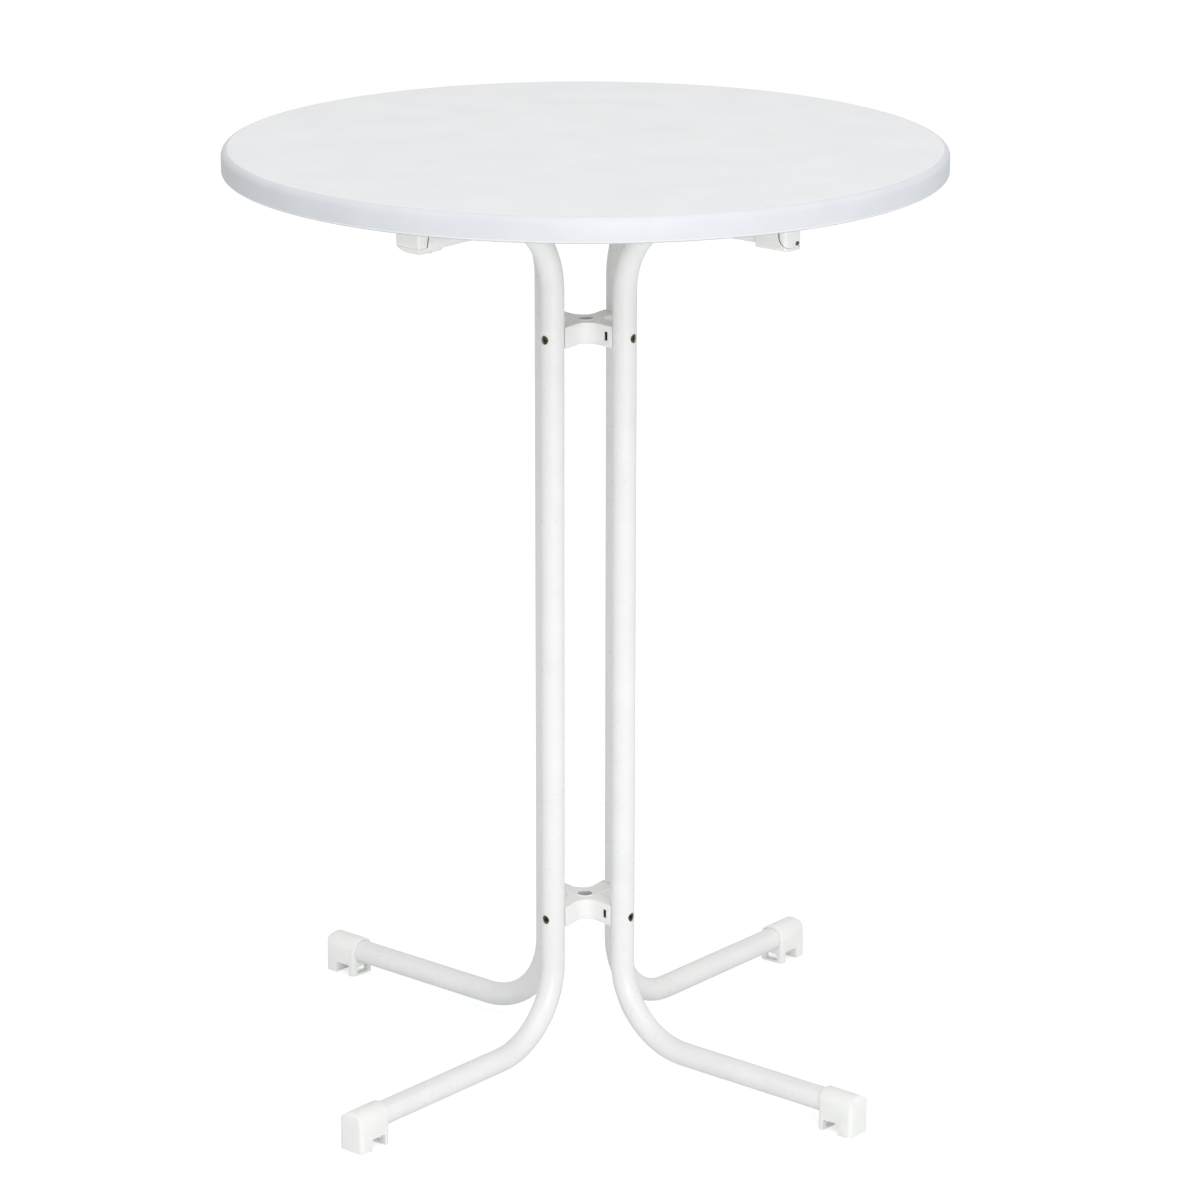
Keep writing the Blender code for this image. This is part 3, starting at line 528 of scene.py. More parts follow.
def dress(obj, name, node, body, finish):
    """Names a finished piece, gives it its finish and lets it stand for its node."""
    obj.name = name
    obj.data.name = name
    obj.data.materials.clear()
    obj.data.materials.append(FINISHES[finish])
    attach(obj, body)
    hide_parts(node)
    return obj


def turn(obj, angle):
    """Turns a mesh about the table's middle."""
    obj.data.transform(Matrix.Rotation(angle, 4, "Z"))
    return obj


def copy_moved(obj, move):
    """A copy with its own mesh, moved by a matrix."""
    twin = obj.copy()
    twin.data = obj.data.copy()
    bpy.context.scene.collection.objects.link(twin)
    twin.data.transform(move)
    return twin


def dress_four(obj, name, node, finish):
    """Dresses a copy of one piece on each leg."""
    for leg, angle in LEG_ANGLES.items():
        twin = copy_moved(obj, Matrix.Rotation(angle, 4, "Z"))
        dress(twin, f"{name}_{leg}", f"{node}_{leg}", "frame", finish)
    bpy.data.objects.remove(obj)


def dress_pair(front, side, name, node, body):
    """Dresses a moulded piece at the front, and its mirror image at the back."""
    rear = copy_moved(front, Matrix.Scale(-1, 4, (0, 1, 0)))
    activate(rear)
    bpy.ops.object.mode_set(mode="EDIT")
    bpy.ops.mesh.select_all(action="SELECT")
    bpy.ops.mesh.flip_normals()
    bpy.ops.object.mode_set(mode="OBJECT")
    for obj, leg in ((front, f"front_{side}"), (rear, f"rear_{side}")):
        dress(obj, f"{name}_{leg}", f"{node}_{leg}", body, "white_plastic")


# %% [markdown]
# ## The table top
#
# A board with a soft upper edge, an upright rim and a smaller round below.  It starts as a cylinder
# whose two rims are bevelled.  An inset keeps the big flat faces flat, since otherwise the smooth
# shading of the rims would bleed in.
#
# Each face takes its finish from the way it looks.  The edge band covers the rim and most of the
# upper round.  The grey backing covers the underside and wraps round the lower edge.  On that edge
# its grey is painted shade: the dark line of the downturned edge.  The laminate covers the rest,
# which is the upper face and a thin paler strip between band and backing.  The strip is pale partly
# as a painted highlight of the light from the floor.

# %% Table top
TOP_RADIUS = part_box("table_top")[1].x
TOP_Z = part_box("table_top")[1].z
UNDERSIDE_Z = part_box("table_top")[0].z
TOP_EDGE = 8.5 * MM
TOP_LOWER_EDGE = 4.5 * MM
TOP_SIDES = 256
TOP_INSET = 2 * MM
# A face that looks up or down by an angle has a normal whose height is the sine of that angle.
BAND_LOWEST = math.sin(math.radians(-12))
BAND_HIGHEST = math.sin(math.radians(80))
BACKING_AND_PAINTED_EDGE_SHADE_BELOW = math.sin(math.radians(-38))


def make_top():
    top = rod(TOP_RADIUS, (0, 0, UNDERSIDE_Z), (0, 0, TOP_Z), TOP_SIDES)
    round_edges(top, TOP_EDGE, lambda c: all(p.z > TOP_Z - TINY for p in c), segments=8)
    round_edges(top, TOP_LOWER_EDGE, lambda c: all(p.z < UNDERSIDE_Z + TINY for p in c))
    for z in (TOP_Z, UNDERSIDE_Z):
        choose(top, "FACE", lambda c: all(abs(p.z - z) < TINY for p in c))
        bpy.ops.mesh.inset(thickness=TOP_INSET)
        bpy.ops.object.mode_set(mode="OBJECT")
    dress(smooth(top), "top_board", "table_top", "tabletop", "top_laminate")
    top.data.materials.append(EDGE_BAND)
    top.data.materials.append(BACKING_AND_PAINTED_EDGE_SHADE)
    # The grey on the downturned lower edge is painted shade, and the paler laminate strip above it
    # is partly a painted highlight.
    for face in top.data.polygons:
        if BAND_LOWEST < face.normal.z < BAND_HIGHEST:
            face.material_index = 1
        elif face.normal.z < BACKING_AND_PAINTED_EDGE_SHADE_BELOW:
            face.material_index = 2
    return top


top = make_top()
print("top across, in metres:", round(top.dimensions.x, 4))

# %% [markdown]
# ## The bent tubes
#
# Each leg is one steel tube, bent twice on the same radius.  It is drawn as it is made: a circle is
# pushed along the lower arm, spun round the first bend, pushed up the column, spun round the second
# bend and pushed out along the upper arm.  Solidify then gives the tube its wall, and holes let the
# bolts in from the outside.

# %% Tube sizes
TUBE_RADIUS = 14 * MM
TUBE_SIDES = 48
TUBE_WALL = 1.5 * MM
BEND_RADIUS = 95 * MM
COLUMN_RADIUS = 58.5 * MM
LOWER_ARM_Z = 30.5 * MM
UPPER_ARM_Z = UNDERSIDE_Z - 36.9 * MM
LOWER_ARM_END = 404.2 * MM
UPPER_ARM_END = 272.7 * MM
CONNECTOR_Z = {"upper": UNDERSIDE_Z - 186.5 * MM, "lower": 183 * MM}
BEND_STEPS = 24
HOLE_BAND = 9 * MM
BOLT_HOLE = 5.3 * MM
SHANK_HOLE = 3.3 * MM


def push(value):
    bpy.ops.mesh.extrude_region_move(TRANSFORM_OT_translate={"value": value})


def spin(centre, axis):
    bpy.ops.mesh.spin(steps=BEND_STEPS, angle=QUARTER_TURN, center=centre, axis=axis)


# %% One tube, then four
# The column is pushed up in stretches, so that each bolt's holes are cut into a short band.
def make_tube():
    bend_x = COLUMN_RADIUS + BEND_RADIUS
    low_z = LOWER_ARM_Z + BEND_RADIUS
    high_z = UPPER_ARM_Z - BEND_RADIUS
    bpy.ops.object.select_all(action="DESELECT")
    bpy.ops.mesh.primitive_circle_add(
        vertices=TUBE_SIDES, radius=TUBE_RADIUS, location=(LOWER_ARM_END, 0, LOWER_ARM_Z),
        rotation=(0, QUARTER_TURN, 0),
    )
    tube = settle(bpy.context.active_object)
    bpy.ops.object.mode_set(mode="EDIT")
    bpy.ops.mesh.select_mode(type="EDGE")
    bpy.ops.mesh.select_all(action="SELECT")
    push((bend_x - LOWER_ARM_END, 0, 0))
    spin((bend_x, 0, low_z), (0, -1, 0))
    height = low_z
    for centre in (CONNECTOR_Z["lower"], CONNECTOR_Z["upper"]):
        for stop in (centre - HOLE_BAND, centre + HOLE_BAND):
            push((0, 0, stop - height))
            height = stop
    push((0, 0, high_z - height))
    spin((bend_x, 0, high_z), (0, -1, 0))
    push((UPPER_ARM_END - bend_x, 0, 0))
    bpy.ops.mesh.select_all(action="SELECT")
    bpy.ops.mesh.remove_doubles(threshold=TINY)
    bpy.ops.mesh.normals_make_consistent(inside=False)
    bpy.ops.object.mode_set(mode="OBJECT")
    return tube


def give_wall(tube):
    step = tube.modifiers.new("wall", "SOLIDIFY")
    step.thickness = TUBE_WALL
    step.offset = -1
    activate(tube)
    bpy.ops.object.modifier_apply(modifier=step.name)
    return tube


def drill_tube(tube):
    inside, outside = COLUMN_RADIUS - 2 * TUBE_RADIUS, COLUMN_RADIUS + 2 * TUBE_RADIUS
    for z in CONNECTOR_Z.values():
        drill(tube, BOLT_HOLE, (COLUMN_RADIUS, 0, z), (outside, 0, z), HOLE_SIDES)
        drill(tube, SHANK_HOLE, (inside, 0, z), (COLUMN_RADIUS, 0, z), SHANK_SIDES)
    return break_edges(tube, width=0.35 * MM, segments=2)


first_tube = drill_tube(give_wall(make_tube()))
print("faces in one tube:", len(first_tube.data.polygons))
dress_four(first_tube, "tube", "leg", "white_paint")

# %% [markdown]
# ## The column connectors
#
# Two moulded crosses hold the tubes.  Two bars are fused crosswise, and the four inner corners are
# rounded with a wide bevel, which gives the waisted star of the real part.  The arms then widen
# towards the tubes, and a cylinder cuts the saddle that each tube lies in.  A low ring stands round
# the hole in the middle.  Below the ring the hole widens, and the middle is hollow behind a thin
# skin, which makes the hole look dark.

# %% Connector
CONNECTOR_HEIGHT = 25 * MM
CONNECTOR_REACH = 50 * MM
ARM_HALF_WIDTH = 10 * MM
HORN_HALF_WIDTH = 13.6 * MM
CROTCH_RADIUS = 16.6 * MM
SADDLE_RADIUS = TUBE_RADIUS + SLACK
CENTRE_HOLE = 8.75 * MM
RING_WIDTH = 2.2 * MM
RING_HEIGHT = 1 * MM
HOLLOW_RADIUS = 15 * MM
HOLLOW_SKIN = 1.8 * MM
RING_UNDERCUT = 1.1 * MM
RING_SKIN = 0.1 * MM
# The pocket has its two walls, as distances from the middle, half its height and its closed end.
NUT_POCKET = (37.7 * MM, 43.3 * MM)
NUT_POCKET_HALF = 5.3 * MM
NUT_POCKET_END = 5.8 * MM
SHANK_BEYOND = 1.5 * MM
CLOSE = 0.1 * MM


def make_cross(low, high):
    cross = block((-CONNECTOR_REACH, -ARM_HALF_WIDTH, low), (CONNECTOR_REACH, ARM_HALF_WIDTH, high))
    other = block((-ARM_HALF_WIDTH, -CONNECTOR_REACH, low), (ARM_HALF_WIDTH, CONNECTOR_REACH, high))
    merge_flat(fuse(cross, other))
    corner = ARM_HALF_WIDTH + CLOSE

    def inner(c):
        return upright(c) and all(abs(p.x) < corner and abs(p.y) < corner for p in c)

    round_edges(cross, CROTCH_RADIUS, inner, segments=12)
    for axis in (0, 1):
        for way in (1, -1):
            choose(cross, "FACE", lambda c: all(p[axis] * way > CONNECTOR_REACH - CLOSE for p in c))
            widen = [1, 1, 1]
            widen[1 - axis] = HORN_HALF_WIDTH / ARM_HALF_WIDTH
            bpy.ops.transform.resize(value=widen, center_override=(0, 0, (low + high) / 2))
            bpy.ops.object.mode_set(mode="OBJECT")
    return cross


def make_connector(level):
    middle = CONNECTOR_Z[level]
    low, high = middle - CONNECTOR_HEIGHT / 2, middle + CONNECTOR_HEIGHT / 2
    cross = make_cross(low, high)
    fuse(cross, rod(CENTRE_HOLE + RING_WIDTH, (0, 0, middle), (0, 0, high + RING_HEIGHT)))
    drill(cross, CENTRE_HOLE, (0, 0, low - MM), (0, 0, high + RING_HEIGHT + MM))
    flank, shank_end = HORN_HALF_WIDTH + MM, NUT_POCKET[0] - SHANK_BEYOND
    for quarter in range(4):
        saddle = rod(SADDLE_RADIUS, (COLUMN_RADIUS, 0, low - MM), (COLUMN_RADIUS, 0, high + MM))
        pocket = block((NUT_POCKET[0], -flank, middle - NUT_POCKET_HALF),
                       (NUT_POCKET[1], NUT_POCKET_END, middle + NUT_POCKET_HALF))
        shank = rod(SHANK_HOLE, (shank_end, 0, middle), (COLUMN_RADIUS, 0, middle), SHANK_SIDES)
        for tool in (saddle, pocket, shank):
            cut(cross, turn(tool, QUARTER_TURN * quarter))
    break_edges(turn(cross, QUARTER_TURN / 2), width=0.8 * MM)
    wider = CENTRE_HOLE + RING_UNDERCUT
    drill(cross, wider, (0, 0, low + HOLLOW_SKIN / 2), (0, 0, high - RING_SKIN))
    drill(cross, HOLLOW_RADIUS, (0, 0, low + HOLLOW_SKIN), (0, 0, high - HOLLOW_SKIN))
    name, node = f"connector_{level}", f"{level}_leg_connector"
    return dress(smooth(cross), name, node, "frame", "white_plastic")


for level in CONNECTOR_Z:
    connector = make_connector(level)
    print("connector:", connector.name, len(connector.data.polygons), "faces")

# %% [markdown]
# ## The feet
#
# A foot is a moulded shoe with an arched section that the tube is pushed into.  A through notch
# below leaves two pads, and the inner pad has a low opening.  The arch is a bar whose upper edges
# are rounded until they meet.  It is kept only inside a plan with rounded corners and a side view
# with a rounded crown.

# %% Foot
FOOT_REACH = 411.5 * MM
FOOT_LENGTH = 47 * MM
FOOT_WALL = 3 * MM
FOOT_END_WALL = 7 * MM
FOOT_CORNER = 5 * MM
FOOT_CROWN = 5.5 * MM
# The notch has its start and end, from the foot's inner end, and its height.
FOOT_NOTCH = (7.5 * MM, 29.5 * MM, 14 * MM)
FOOT_NOTCH_ROUND = 3 * MM
# The opening has half its width, its bottom and its top.
FOOT_PORTAL = (9.5 * MM, 2.5 * MM, 11.5 * MM)
FOOT_PORTAL_ROUND = 1.5 * MM


def arched_bar(inner, outer, bottom, axis_z, half):
    """A block along X whose two long upper edges are bevelled until they meet in a round arch."""
    top = axis_z + half
    bar = block((inner, -half, bottom), (outer, half, top))
    return round_edges(bar, half - HAIR, lambda c: (
        along_x(c) and all(p.z > top - HAIR for p in c)), segments=24)


def make_foot():
    half = TUBE_RADIUS + SLACK + FOOT_WALL
    inner, outer = FOOT_REACH - FOOT_LENGTH, FOOT_REACH
    crown = LOWER_ARM_Z + half
    foot = arched_bar(inner - MM, outer + MM, 0, LOWER_ARM_Z, half)
    plan = block((inner, -half, -MM), (outer, half, crown + MM))
    round_edges(plan, FOOT_CORNER, upright)
    side = block((inner - MM, -half - MM, -MM), (outer + HAIR, half + MM, crown + HAIR))
    round_edges(side, FOOT_CROWN, lambda c: all(p.x > outer - MM and p.z > crown - MM for p in c))
    keep(foot, plan, side)
    notch_in, notch_out, notch_top = inner + FOOT_NOTCH[0], inner + FOOT_NOTCH[1], FOOT_NOTCH[2]
    notch = block((notch_in, -half - MM, -MM), (notch_out, half + MM, notch_top))
    round_edges(notch, FOOT_NOTCH_ROUND, lambda c: (
        all(p.z > notch_top - MM for p in c) and not along_x(c)))
    portal_half, portal_low, portal_high = FOOT_PORTAL
    portal = block((inner - MM, -portal_half, portal_low),
                   (notch_in + MM, portal_half, portal_high))
    cut(foot, notch, round_edges(portal, FOOT_PORTAL_ROUND, along_x))
    start, end = (inner - MM, 0, LOWER_ARM_Z), (outer - FOOT_END_WALL, 0, LOWER_ARM_Z)
    drill(foot, TUBE_RADIUS + SLACK, start, end)
    return break_edges(foot, width=0.7 * MM)


first_foot = make_foot()
print("faces in one foot:", len(first_foot.data.polygons))
dress_four(first_foot, "shoe", "foot", "white_plastic")

# %% [markdown]
# ## The sleeves
#
# The upper arms end in moulded sleeves.  The two on the left have an open seat with a leaning wall,
# so that the top's catch lifts out when the top is tilted.  The wall is square to the arm, and
# towards the table's front or rear it turns square to the hinge pins.  The two on the right have a
# seat with a round corner and keep an ear that holds the hinge pin.

# %% Sleeve body
SLEEVE_REACH = 301 * MM
SLEEVE_LENGTH = 44 * MM
SLEEVE_INNER = SLEEVE_REACH - SLEEVE_LENGTH
SLEEVE_HALF = TUBE_RADIUS + SLACK + 3.7 * MM
SLEEVE_CORNER = 4.5 * MM
SLEEVE_BOTTOM_Z = UPPER_ARM_Z - TUBE_RADIUS - SLACK - 1.2 * MM
SLEEVE_TOP_Z = UPPER_ARM_Z + SLEEVE_HALF
SLEEVE_SCREW_X = SLEEVE_INNER + 8.5 * MM
SLEEVE_SCREW_HOLE = 2.1 * MM
SEAT_GAP = 1.2 * MM
FAR = SLEEVE_REACH + 20 * MM
HIGH = SLEEVE_TOP_Z + 10 * MM


def sleeve_plan():
    """A box with four rounded corners, which the sleeve and its bracket are kept inside."""
    plan = block((SLEEVE_INNER, -SLEEVE_HALF, SLEEVE_BOTTOM_Z - MM),
                 (SLEEVE_REACH, SLEEVE_HALF, UNDERSIDE_Z + MM))
    return round_edges(plan, SLEEVE_CORNER, upright)


def round_below(body, radius):
    """Rounds the two long lower edges."""
    return round_edges(body, radius, lambda c: (
        along_x(c) and all(p.z < SLEEVE_BOTTOM_Z + HAIR for p in c)), segments=12)


def sleeve_body(radius):
    inner, outer = SLEEVE_INNER - MM, SLEEVE_REACH + MM
    body = arched_bar(inner, outer, SLEEVE_BOTTOM_Z, UPPER_ARM_Z, SLEEVE_HALF)
    return keep(round_below(body, radius), sleeve_plan())


def bore_sleeve(body):
    """Drills the bore for the tube and, from below, the hole for the screw."""
    inner, outer = SLEEVE_INNER - MM, UPPER_ARM_END + SLACK
    drill(body, TUBE_RADIUS + SLACK, (inner, 0, UPPER_ARM_Z), (outer, 0, UPPER_ARM_Z))
    below, middle = (SLEEVE_SCREW_X, 0, SLEEVE_BOTTOM_Z - MM), (SLEEVE_SCREW_X, 0, UPPER_ARM_Z)
    return drill(body, SLEEVE_SCREW_HOLE, below, middle, SHANK_SIDES)


# %% Latch sleeves
LATCH_ROUND = 15.2 * MM
LATCH_CROWN = 18 * MM
LATCH_SEAT_Z = SLEEVE_BOTTOM_Z + 9.5 * MM
LATCH_SEAT = 13.5 * MM
# The part of the seat that is square to the pins ends at this X and at this Y.
LATCH_SIDE = (-190 * MM, -203 * MM)
SEAT_LEAN = 3.2 * MM
SLIT_WIDENS = 0.9 * MM


def latch_crown():
    """A box with its outer lower edge rounded, which the sleeve and its catch are kept inside."""
    crown = block((0, -FAR, SLEEVE_BOTTOM_Z - HAIR), (SLEEVE_REACH + HAIR, FAR, UNDERSIDE_Z))
    return round_edges(crown, LATCH_CROWN, lambda c: (
        all(p.x > SLEEVE_REACH and p.z < SLEEVE_BOTTOM_Z for p in c)), segments=16)


def latch_seat(wall, side_x, side_y, low, high, widens):
    """The room of the seat: a box square to the arm, and one near the front square to the pins."""
    lean = SEAT_LEAN * (high - LATCH_SEAT_Z) / (SLEEVE_TOP_Z - LATCH_SEAT_Z)
    seat = block((wall, -SLEEVE_HALF - MM, low), (FAR, SLEEVE_HALF + MM, high))
    move_edges(seat, lambda c: (
        all(p.x < wall + MM and p.z > high - MM for p in c)), (-lean, 0, 0))
    side = block((-FAR, -FAR, low), (side_x, side_y, high))
    move_edges(side, lambda c: (
        all(p.x > side_x - MM and p.z > high - MM for p in c)), (lean - widens, 0, 0))
    return merge_flat(fuse(seat, turn(side, -LEG_ANGLES["front_left"])))


def make_latch_sleeve():
    seat = latch_seat(SLEEVE_REACH - LATCH_SEAT, *LATCH_SIDE, LATCH_SEAT_Z, HIGH, widens=0)
    body = keep(sleeve_body(LATCH_ROUND), latch_crown())
    break_edges(bore_sleeve(cut(body, seat)), width=0.6 * MM)
    return turn(body, LEG_ANGLES["front_left"])


dress_pair(make_latch_sleeve(), "left", "sleeve", "latch_sleeve", "frame")

# %% Hinge sleeves
HINGE_ROUND = 5 * MM
HINGE_SEAT_Z = SLEEVE_BOTTOM_Z + 3.3 * MM
BRACKET_ROUND = 12.5 * MM
KNUCKLE = 3.6 * MM
HINGE_X = SLEEVE_REACH / math.sqrt(2) + 2.5 * MM
HINGE_Z = HINGE_SEAT_Z + SLACK + KNUCKLE
HINGE_SIDE_X = HINGE_X + KNUCKLE
HINGE_WALL_X = HINGE_SIDE_X - 25.9 * MM
EAR_FACE = HINGE_X - SLEEVE_HALF * math.sqrt(2) + 7 * MM
PIN_RADIUS = 2.2 * MM
PIN_HOLE_DEPTH = 3.8 * MM


def hinge_seat(wall, low, radius, near, high):
    """A box square to the pins, with its inner lower edge rounded, from near outwards."""
    seat = block((wall, -FAR, low), (FAR, -near, high))
    return round_edges(seat, radius, lambda c: (
        all(p.x < wall + MM and p.z < low + MM for p in c)), segments=12)


def make_hinge_sleeve():
    body = turn(bore_sleeve(sleeve_body(HINGE_ROUND)), LEG_ANGLES["front_right"])
    radius = BRACKET_ROUND + SEAT_GAP - SLACK
    cut(body, hinge_seat(HINGE_WALL_X, HINGE_SEAT_Z, radius, EAR_FACE, HIGH))
    cut(body, block((HINGE_SIDE_X, -FAR, SLEEVE_BOTTOM_Z - MM), (FAR, 0, HIGH)))
    deep, open_end = -EAR_FACE + PIN_HOLE_DEPTH, -EAR_FACE - MM
    drill(body, PIN_RADIUS + SLACK, (HINGE_X, deep, HINGE_Z), (HINGE_X, open_end, HINGE_Z),
          HOLE_SIDES)
    return break_edges(body, width=0.6 * MM)


dress_pair(make_hinge_sleeve(), "right", "sleeve", "hinge_sleeve", "frame")

# %% [markdown]
# ## The brackets under the top
#
# Each bracket is a moulded block that stands in a sleeve's seat and widens into a flange with four
# screws.  Its faces are flush with the sleeve's, so the joint shows only as a dark line: a curved
# one at the hinges, and a short slit that widens upwards at the catches.

# %% Flange
FLANGE_TOP_Z = UNDERSIDE_Z - SLACK
FLANGE_BOTTOM_Z = FLANGE_TOP_Z - 4 * MM
FLANGE_INNER = 261 * MM
FLANGE_OUTER = 315 * MM
FLANGE_HALF = 24 * MM
FLANGE_CORNER = 6 * MM
SCREW_EDGE = 6.5 * MM
SCREW_ROWS = (FLANGE_INNER + SCREW_EDGE, FLANGE_OUTER - SCREW_EDGE)
SCREW_SIDE = FLANGE_HALF - SCREW_EDGE
TOP_SCREW_HOLE = 2.3 * MM
BLOCK_TOP_Z = FLANGE_BOTTOM_Z + 2 * MM


def add_flange(body):
    plate = block((FLANGE_INNER, -FLANGE_HALF, FLANGE_BOTTOM_Z),
                  (FLANGE_OUTER, FLANGE_HALF, FLANGE_TOP_Z))
    fuse(body, round_edges(plate, FLANGE_CORNER, upright))
    for x in SCREW_ROWS:
        for y in (-SCREW_SIDE, SCREW_SIDE):
            below, above = (x, y, FLANGE_BOTTOM_Z - MM), (x, y, FLANGE_TOP_Z + MM)
            drill(body, TOP_SCREW_HOLE, below, above, SHANK_SIDES)
    return body


# %% Catches and hinge brackets
def make_catch():
    wall = SLEEVE_REACH - LATCH_SEAT + SEAT_GAP
    side_x, side_y = LATCH_SIDE[0] - SEAT_GAP, LATCH_SIDE[1] - 2 * SLACK
    catch = latch_seat(wall, side_x, side_y, LATCH_SEAT_Z + SLACK, BLOCK_TOP_Z, SLIT_WIDENS)
    flanks = block((0, -SLEEVE_HALF, SLEEVE_BOTTOM_Z), (FAR + MM, SLEEVE_HALF, BLOCK_TOP_Z + MM))
    keep(catch, round_below(flanks, LATCH_ROUND), sleeve_plan(), latch_crown())
    break_edges(add_flange(catch), width=0.5 * MM)
    return turn(catch, LEG_ANGLES["front_left"])


def make_hinge_bracket():
    wall, low, near = HINGE_WALL_X + SEAT_GAP, HINGE_SEAT_Z + SLACK, EAR_FACE + SLACK
    body = hinge_seat(wall, low, BRACKET_ROUND, near, BLOCK_TOP_Z)
    keep(body, block((0, -FAR - MM, low - MM), (HINGE_SIDE_X, 0, BLOCK_TOP_Z + MM)))
    round_edges(body, KNUCKLE, lambda c: (
        all(p.x > HINGE_SIDE_X - MM and p.z < low + MM for p in c)), segments=8)
    turn(body, -LEG_ANGLES["front_right"])
    add_flange(keep(body, sleeve_plan()))
    turn(body, LEG_ANGLES["front_right"])
    far, near_end = (HINGE_X, -FAR, HINGE_Z), (HINGE_X, -EAR_FACE + MM, HINGE_Z)
    drill(body, PIN_RADIUS + SLACK, far, near_end, HOLE_SIDES)
    return break_edges(body, width=0.5 * MM)


dress_pair(make_catch(), "left", "catch", "catch_bracket", "tabletop")
dress_pair(make_hinge_bracket(), "right", "hinge", "hinge_bracket", "tabletop")

# %% [markdown]
# ## Bolts, nuts, screws and pins
#
# Each fastener is drawn once and copied to its places.  A bolt has a long round head with a hexagon
# socket: it goes in through the hole in the outer wall of the tube, shows its yellow face just
# inside that hole, and bears on the inner wall.  Its plate nut is slid into the connector from the
# side.  The screws hold the sleeves and the brackets from below, and the pins are the hinges' axes.

# %% Bolts and their nuts
HEAD_RADIUS = 4.5 * MM
HEAD_FACE = COLUMN_RADIUS + TUBE_RADIUS - TUBE_WALL
HEAD_SEAT = COLUMN_RADIUS - 11.3 * MM
BOLT_RADIUS = 3 * MM
SOCKET_RADIUS = 2.89 * MM
SOCKET_SIDES = 6
SOCKET_DEPTH = 3 * MM
NUT = (38 * MM, 43 * MM)
NUT_FLANK = 10.6 * MM
NUT_END = 5.5 * MM
NUT_HALF = 5 * MM
BOLT_TIP = NUT[0] - SHANK_BEYOND


def make_bolt(z):
    bolt = rod(HEAD_RADIUS, (HEAD_SEAT, 0, z), (HEAD_FACE, 0, z), HEAD_SIDES)
    fuse(bolt, rod(BOLT_RADIUS, (BOLT_TIP, 0, z), (HEAD_SEAT + MM, 0, z), HOLE_SIDES))
    deep = HEAD_FACE - SOCKET_DEPTH
    drill(bolt, SOCKET_RADIUS, (deep, 0, z), (HEAD_FACE + MM, 0, z), SOCKET_SIDES)
    return break_edges(bolt, width=0.4 * MM)


def make_nut(z):
    nut = block((NUT[0], -NUT_FLANK, z - NUT_HALF), (NUT[1], NUT_END, z + NUT_HALF))
    drill(nut, SHANK_HOLE, (NUT[0] - MM, 0, z), (NUT[1] + MM, 0, z), HOLE_SIDES)
    return break_edges(nut, width=0.3 * MM)


for level, z in CONNECTOR_Z.items():
    bolt, nut = make_bolt(z), make_nut(z)
    for leg, angle in LEG_ANGLES.items():
        place, there = f"{level}_{leg}", Matrix.Rotation(angle, 4, "Z")
        # The bolts' olive is darker than the plating as painted shade of the holes that their heads
        # sit in.
        dress(copy_moved(bolt, there), f"sleeve_bolt_{place}", f"bolt_{place}",
              "frame", "yellow_zinc")
        # The nuts' near black is painted shade of the pockets that they fill.
        dress(copy_moved(nut, there), f"plate_nut_{place}", f"nut_{place}",
              "frame", "black_steel")
    bpy.data.objects.remove(bolt)
    bpy.data.objects.remove(nut)

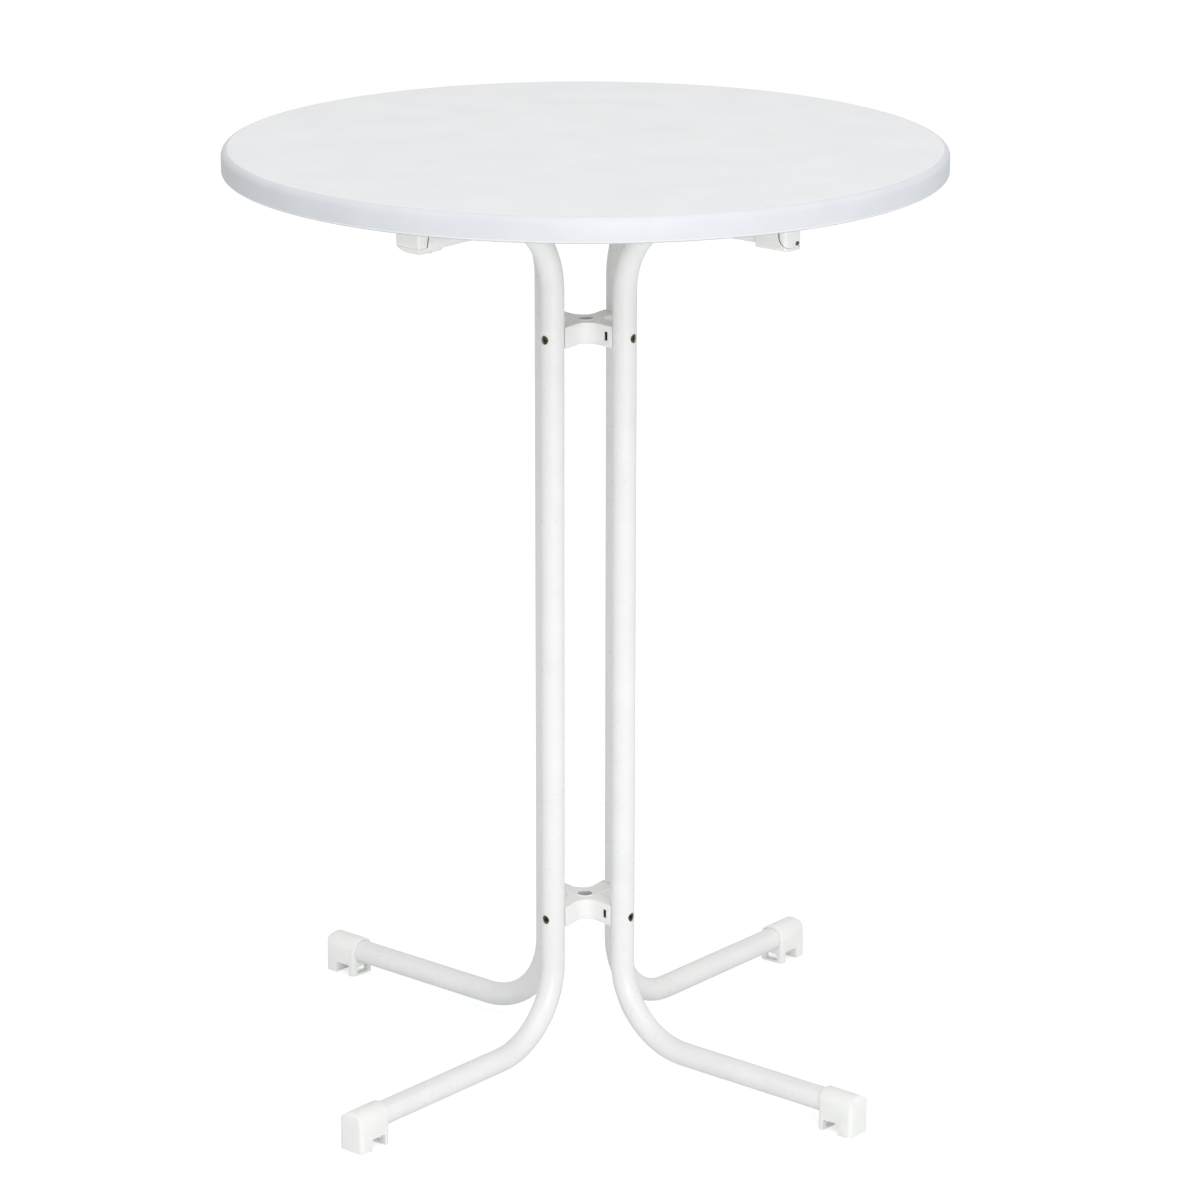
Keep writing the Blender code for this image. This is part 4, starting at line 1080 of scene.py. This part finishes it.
# %% Screws
SLEEVE_SCREW = {"shank": 1.8 * MM, "head": 3.8 * MM, "height": 1 * MM}
TOP_SCREW = {"shank": 2 * MM, "head": 4 * MM, "height": 2.4 * MM}
SLEEVE_SCREW_TIP = UPPER_ARM_Z - TUBE_RADIUS + 5 * MM
TOP_SCREW_TIP = UNDERSIDE_Z + 15 * MM
TOP_SCREW_PLACES = (
    (SCREW_ROWS[0], -SCREW_SIDE), (SCREW_ROWS[0], SCREW_SIDE),
    (SCREW_ROWS[1], SCREW_SIDE), (SCREW_ROWS[1], -SCREW_SIDE),
)
HEAD_ROUND = 0.75
RECESS_REACH = 2.2 * MM
RECESS_HALF = 0.5 * MM
RECESS_DEPTH = 1.2 * MM


def pan_screw(seat, tip, shank, head, height):
    """A screw whose round head hangs below its seat, with a cross recess."""
    low = seat - height
    screw = rod(head, (0, 0, low), (0, 0, seat), HEAD_SIDES)
    round_edges(screw, HEAD_ROUND * height, lambda c: all(p.z < low + HAIR for p in c))
    fuse(screw, rod(shank, (0, 0, seat - MM), (0, 0, tip), SHANK_SIDES))
    for x, y in ((RECESS_REACH, RECESS_HALF), (RECESS_HALF, RECESS_REACH)):
        cut(screw, block((-x, -y, low - MM), (x, y, low + RECESS_DEPTH)))
    return break_edges(screw, width=0.15 * MM, segments=2)


def copy_screw(screw, x, y, angle):
    return copy_moved(screw, Matrix.Rotation(angle, 4, "Z") @ Matrix.Translation((x, y, 0)))


sleeve_screw = pan_screw(SLEEVE_BOTTOM_Z - SLACK, SLEEVE_SCREW_TIP, **SLEEVE_SCREW)
top_screw = pan_screw(FLANGE_BOTTOM_Z - SLACK, TOP_SCREW_TIP, **TOP_SCREW)
for leg, angle in LEG_ANGLES.items():
    piece = copy_screw(sleeve_screw, SLEEVE_SCREW_X, 0, angle)
    dress(piece, f"pan_screw_{leg}", f"sleeve_screw_{leg}", "frame", "plain_zinc")
    for number, (x, y) in enumerate(TOP_SCREW_PLACES, start=1):
        piece, place = copy_screw(top_screw, x, y, angle), f"{leg}_{number}"
        dress(piece, f"board_screw_{place}", f"top_screw_{place}", "tabletop", "plain_zinc")
bpy.data.objects.remove(sleeve_screw)
bpy.data.objects.remove(top_screw)

# %% Hinge pins
for leg in ("front_right", "rear_right"):
    low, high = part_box(f"hinge_pin_{leg}")
    pin = rod(PIN_RADIUS, (HINGE_X, low.y, HINGE_Z), (HINGE_X, high.y, HINGE_Z), HOLE_SIDES)
    break_edges(pin, width=0.3 * MM)
    dress(pin, f"pin_{leg}", f"hinge_pin_{leg}", "frame", "plain_zinc")
    # The pins' dark colour is painted shade, for the dot that a pin's end shows in its hole.
    pin.data.materials[0] = PIN_STEEL_PAINTED_SHADE
